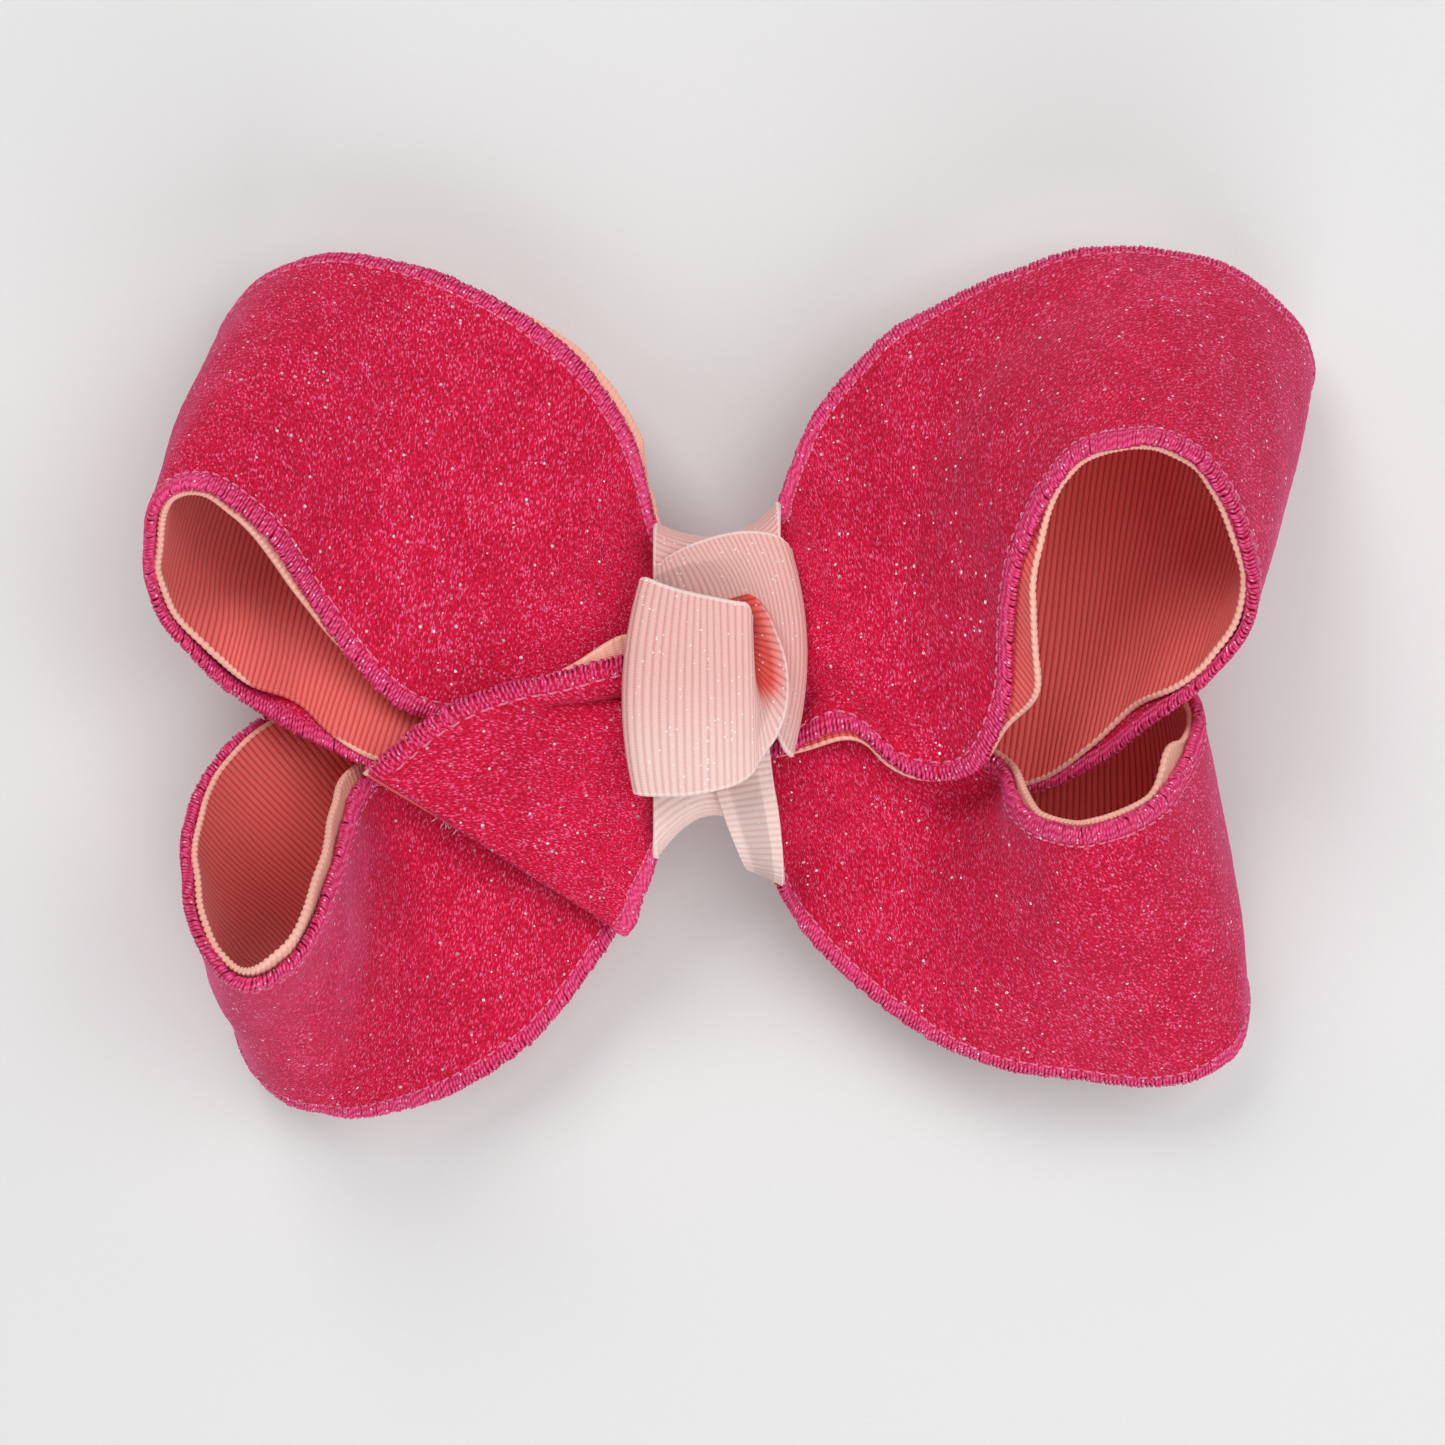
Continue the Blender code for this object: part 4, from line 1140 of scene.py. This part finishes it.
FACE = [
    ((-5.5, -8.8, 23.3), (-5.2, 11.6, 23.4), (-0.6, 0, 0)),
    ((-7.6, -9.4, 23.6), (-7.0, 12.4, 23.6), (-1.3, 0, 0)),
    ((-8.3, -9.8, 24.6), (-7.6, 12.8, 24.6), (-1.6, 0, 0)),
    ((-7.9, -10.1, 25.9), (-7.2, 12.9, 25.7), (-1.4, 0, 0.2)),
    ((-5.5, -10.2, 26.7), (-4.9, 12.0, 26.5), (-0.8, 0, 0.3)),
    ((-2.6, -10.1, 27.2), (-2.4, 11.3, 27.0), (-0.3, 0, 0.3)),
    ((0.9, -9.4, 27.4), (0.4, 10.7, 27.3), (0, 0, 0.2)),
    ((2.6, -8.8, 27.4), (2.4, 10.3, 27.5), (0, 0, 0)),
    ((3.9, -7.9, 27.3), (3.5, 10.0, 27.4), (0, 0, 0)),
    ((4.7, -6.6, 27.1), (3.6, 7.0, 26.8), (0, 0, 0)),
    ((5.6, -5.3, 26.9), (3.2, 6.0, 26.0), (0, 0, 0)),
    ((6.5, -4.0, 26.8), (2.6, 5.6, 25.4), (0, 0, -0.2)),
    ((7.3, -2.2, 26.7), (2.2, 5.4, 25.2), (0, 0, -0.4)),
    ((7.8, 0.2, 26.6), (1.9, 5.6, 25.15), (0, 0, -0.5)),
    ((7.8, 2.4, 26.6), (1.7, 6.0, 25.1), (0, 0, -0.5)),
    ((7.4, 4.8, 26.6), (1.6, 6.8, 25.1), (0, 0, -0.5)),
    ((6.6, 7.0, 26.5), (1.4, 7.8, 25.0), (0, 0, -0.4)),
    ((5.8, 8.9, 26.3), (1.2, 8.8, 24.9), (0, 0, -0.3)),
    ((4.6, 10.5, 26.0), (1.0, 9.8, 24.7), (0, 0, -0.2)),
    ((3.2, 11.3, 25.6), (0.6, 10.6, 24.5), (0, 0, -0.1)),
]
FRONT_LEG = [
    ((-0.8, -6.0, 23.3), (5.8, -5.0, 23.3)),
    ((0.0, -9.5, 23.1), (6.2, -8.4, 23.0)),
    ((1.0, -12.6, 22.5), (6.8, -12.0, 22.6)),
    ((2.2, -15.6, 21.2), (7.2, -15.6, 21.6)),
    ((3.2, -17.6, 19.2), (7.4, -18.6, 20.0)),
    ((3.8, -18.0, 16.0), (7.4, -19.8, 16.8)),
    ((3.6, -16.6, 12.6), (7.2, -18.6, 12.8)),
    ((2.8, -13.6, 9.6), (6.8, -15.0, 9.0)),
    ((2.0, -9.0, 6.8), (6.4, -9.6, 6.4)),
    ((1.6, -4.8, 5.6), (6.0, -4.8, 5.3)),
]
knot_piece("knot_band", Ribbon(CROSS_BAND, -1, KNOT_WIDTH), "knot_cross_band")
face = knot_piece("knot_roll", Ribbon(FACE, 1, KNOT_WIDTH), "knot_face")
leg = Ribbon(FRONT_LEG, 1, KNOT_WIDTH)
knot_piece("knot_front_leg", leg, "knot_tail_lower", KNOT_RIBBON_PAINTED_LIGHT)

HOLLOW_BOTTOM, HOLLOW_LEFT, HOLLOW_RIM = -1.5, 0.8, 26.9
HOLLOW_SHADE, HOLLOW_RISE = 0.8, 3.0


def deepen(piece):
    """Marks how deep in the curl each point lies, for the finish: light there has crossed the
    ribbon and bounced off it, so it is redder."""
    points = np.empty(len(piece.data.vertices) * 3, np.float32)
    piece.data.vertices.foreach_get("co", points)
    x, y, z = points.reshape(-1, 3).T / MM
    below = np.clip((HOLLOW_RIM - z) / HOLLOW_SHADE, 0, 1)
    inside = np.clip((y - HOLLOW_BOTTOM) / HOLLOW_RISE, 0, 1) * (x > HOLLOW_LEFT)
    layer = piece.data.attributes.new(DEEP, "FLOAT", "POINT")
    layer.data.foreach_set("value", (below * inside).astype(np.float32))


deepen(face)

# %% [markdown]
# ## Under the bow
#
# The clip's steel parts come from the packed model and keep their shape, so they only need a
# brushed, slightly scratched finish. The strip glued along the clip is the same grosgrain as
# the lining. Under the knot are three turns of white thread and a blob of hot glue.

# %% Steel
def steel_finish():
    steel = Finish("clip_steel", Specular_IOR_Level=0.5)
    where = steel.place()
    stretched = steel.vector("MULTIPLY", where, (0.06, 1.0, 1.0))
    brushed = steel.noise(stretched, 0.10, 3.0)
    smudge = steel.noise(where, 4.0, 3.0)
    scratch = steel.noise(steel.vector("MULTIPLY", where, (1.0, 0.08, 1.0)), 0.35, 2.0)
    marks = (scratch > 0.70) * 0.5
    colour = steel.mix(brushed * 0.6 + smudge * 0.4, (0.42, 0.42, 0.43), (0.74, 0.74, 0.75))
    roughness = 0.20 + brushed * 0.16 + smudge.ramp(0.4, 0.8) * 0.18 + marks * 0.15
    normal = steel.bump(brushed - marks, 0.02, 0.5)
    return steel.wear(Base_Color=colour, Roughness=roughness, Metallic=1.0, Normal=normal)


STEEL = steel_finish()
for node in ("clip_upper_arm", "clip_lower_jaw", "clip_hinge_pin", "clip_spring"):
    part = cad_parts[node]
    part.data.materials.clear()
    part.data.materials.append(STEEL)
print("steel parts re-finished")

# %% Strip on the clip
low, high = (np.array(corner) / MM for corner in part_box("clip_lining"))
level = (low[2] + high[2]) / 2
STRIP = [((x, low[1], level), (x, high[1], level)) for x in (low[0], 0, high[0])]
STRIP_THICKNESS, STRIP_RIB_HEIGHT = 0.32, 0.07
strip = Ribbon(STRIP, 1, high[1] - low[1])
along = rib_places(strip.cut_length)[:, None]
across = np.linspace(0, strip.width, 17)[None, :]
clip_strip = cloth_piece(
    "clip_strip", strip, along, across, STRIP_THICKNESS, 0.0, LINING,
    ribs(0, strip.width, STRIP_RIB_HEIGHT),
)
stands_for(clip_strip, "clip_lining")
print("strip of", round(strip.cut_length, 1), "by", round(strip.width, 1), "mm")


# %% Binding thread and glue
def glue_finish():
    glue = Finish("glue", Transmission_Weight=0.15, Subsurface_Weight=0.3, Coat_Roughness=0.15)
    where = glue.place()
    cloud = glue.noise(where, 1.6, 4.0)
    bubbles, chance, _, _ = glue.flakes(where, 0.7)
    bubble = (chance > 0.8) * (bubbles < 0.3)
    colour = glue.mix(cloud + bubble * 0.3, (0.66, 0.62, 0.50), (0.90, 0.88, 0.80))
    normal = glue.bump(cloud - bubble * 0.5, 0.10)
    return glue.wear(Base_Color=colour, Roughness=0.25 + cloud * 0.2, Normal=normal)


def glue_blob():
    """A flattened blob, lumpier towards its rim, that fills the packed pad's box."""
    low, high = (np.array(corner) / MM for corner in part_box("glue_pad"))
    work = bmesh.new()
    bmesh.ops.create_icosphere(work, subdivisions=5, radius=1.0)
    half, middle = (high - low) / 2, (high + low) / 2
    for vertex in work.verts:
        d = np.array(vertex.co)
        squared = np.sign(d) * np.abs(d) ** np.array([0.75, 0.75, 0.5])
        lump = 1 + 0.05 * math.sin(5 * d[0] + 2) * math.sin(4 * d[1] + 1)
        lump -= 0.04 * math.sin(9 * d[0] * d[1])
        vertex.co = Vector((middle + half * squared * lump) * MM)
    mesh = bpy.data.meshes.new("hot_glue")
    work.to_mesh(mesh)
    work.free()
    mesh.materials.append(glue_finish())
    mesh.shade_smooth()
    made = bpy.data.objects.new("hot_glue", mesh)
    bpy.context.scene.collection.objects.link(made)
    return made


blob = glue_blob()
stands_for(blob, "glue_pad")

THREAD_TURNS, PER_TURN = 3, 60
PLY_TWIST = 1.6
PLY_OFFSET, PLY_RADIUS = 0.13, 0.16
BOUND_WIDTH = 2.4


def binding():
    """Three turns of two-ply thread round the pinched legs."""
    middle, reach, squareness = np.array([2.3, 15.4]), np.array([13.0, 6.1]), 8.0
    count = THREAD_TURNS * PER_TURN * 3 + 1
    angle = np.linspace(0, TURN * THREAD_TURNS, count)
    c, s = np.cos(angle), np.sin(angle)
    radius = (np.abs(c) ** squareness + np.abs(s) ** squareness) ** (-1 / squareness)
    y, z = middle[0] + reach[0] * c * radius, middle[1] + reach[1] * s * radius
    x = -BOUND_WIDTH / 2 + BOUND_WIDTH * angle / angle[-1]
    route = np.stack([x, y, z], axis=1)
    out = unit(np.stack([0 * x, c, s], axis=1))
    beside = np.tile([1.0, 0, 0], (count, 1))
    meshes = []
    for ply in (0, math.pi):
        turn = (TURN * travelled(route) / PLY_TWIST + ply)[:, None]
        wound = route + PLY_OFFSET * (out * np.sin(turn) + beside * np.cos(turn))
        meshes.append(tube_mesh(wound, out, np.full(count, PLY_RADIUS), 6))
    points, faces, cloth = joined(meshes)
    return mesh_piece("bound_thread", points, faces, WHITE_THREAD, cloth)


thread = binding()
stands_for(thread, "binding_thread")
print("thread points:", len(thread.data.vertices))

# %% [markdown]
# ## Floor
#
# A plain pale card, large enough to fill every view, with a faint grain so that it isn't a
# single flat colour.

# %% Card
def card_finish():
    card = Finish("card", Specular_IOR_Level=0.2)
    where = card.place()
    grain = card.noise(where, 0.5, 4.0)
    cloud = card.noise(where, 60.0, 2.0)
    colour = card.mix(grain * 0.5 + cloud * 0.5, (0.74, 0.74, 0.735), (0.80, 0.80, 0.795))
    normal = card.bump(grain, 0.02)
    return card.wear(Base_Color=colour, Roughness=0.75 + grain * 0.15, Normal=normal)


card_mesh = bpy.data.meshes.new("card")
work = bmesh.new()
bmesh.ops.create_grid(work, x_segments=2, y_segments=2, size=6.0)
work.to_mesh(card_mesh)
work.free()
card_mesh.materials.append(card_finish())
floor = bpy.data.objects.new("card", card_mesh)
floor.location = (0, 0, -0.0002)
bpy.context.scene.collection.objects.link(floor)

# %% [markdown]
# ## Flat sizes of the cloth
#
# Each ribbon's flat size is worked out from the width and length it was cut to, and for the cut
# end and the knot the share of it that shows.

# %% Sheets
TAIL_SHARE = 0.7

for place, ribbon in ribbons.items():
    for piece, width, support in (
        (velvets[place], RIBBON_WIDTH, "knot_roll"),
        (linings[place], LINING_WIDTH, velvets[place].name),
    ):
        flat = (width * MM, ribbon.cut_length * MM)
        area = TAIL_SHARE * flat[0] * flat[1] if place == "tail" else None

KNOT_UNFOLDED = {
    "knot_wrap_upper": (0.7, "pile_loop_upper_right"),
    "knot_wrap_lower": (0.6, "pile_loop_lower_right"),
    "knot_band": (0.6, "knot_wrap_upper"),
    "knot_roll": (0.8, "knot_band"),
    "knot_front_leg": (0.3, "knot_wrap_lower"),
}
for name, (piece, length) in knot_pieces.items():
    showing, support = KNOT_UNFOLDED[name]
    flat = (KNOT_WIDTH * MM, length * MM)
    showing * flat[0] * flat[1]
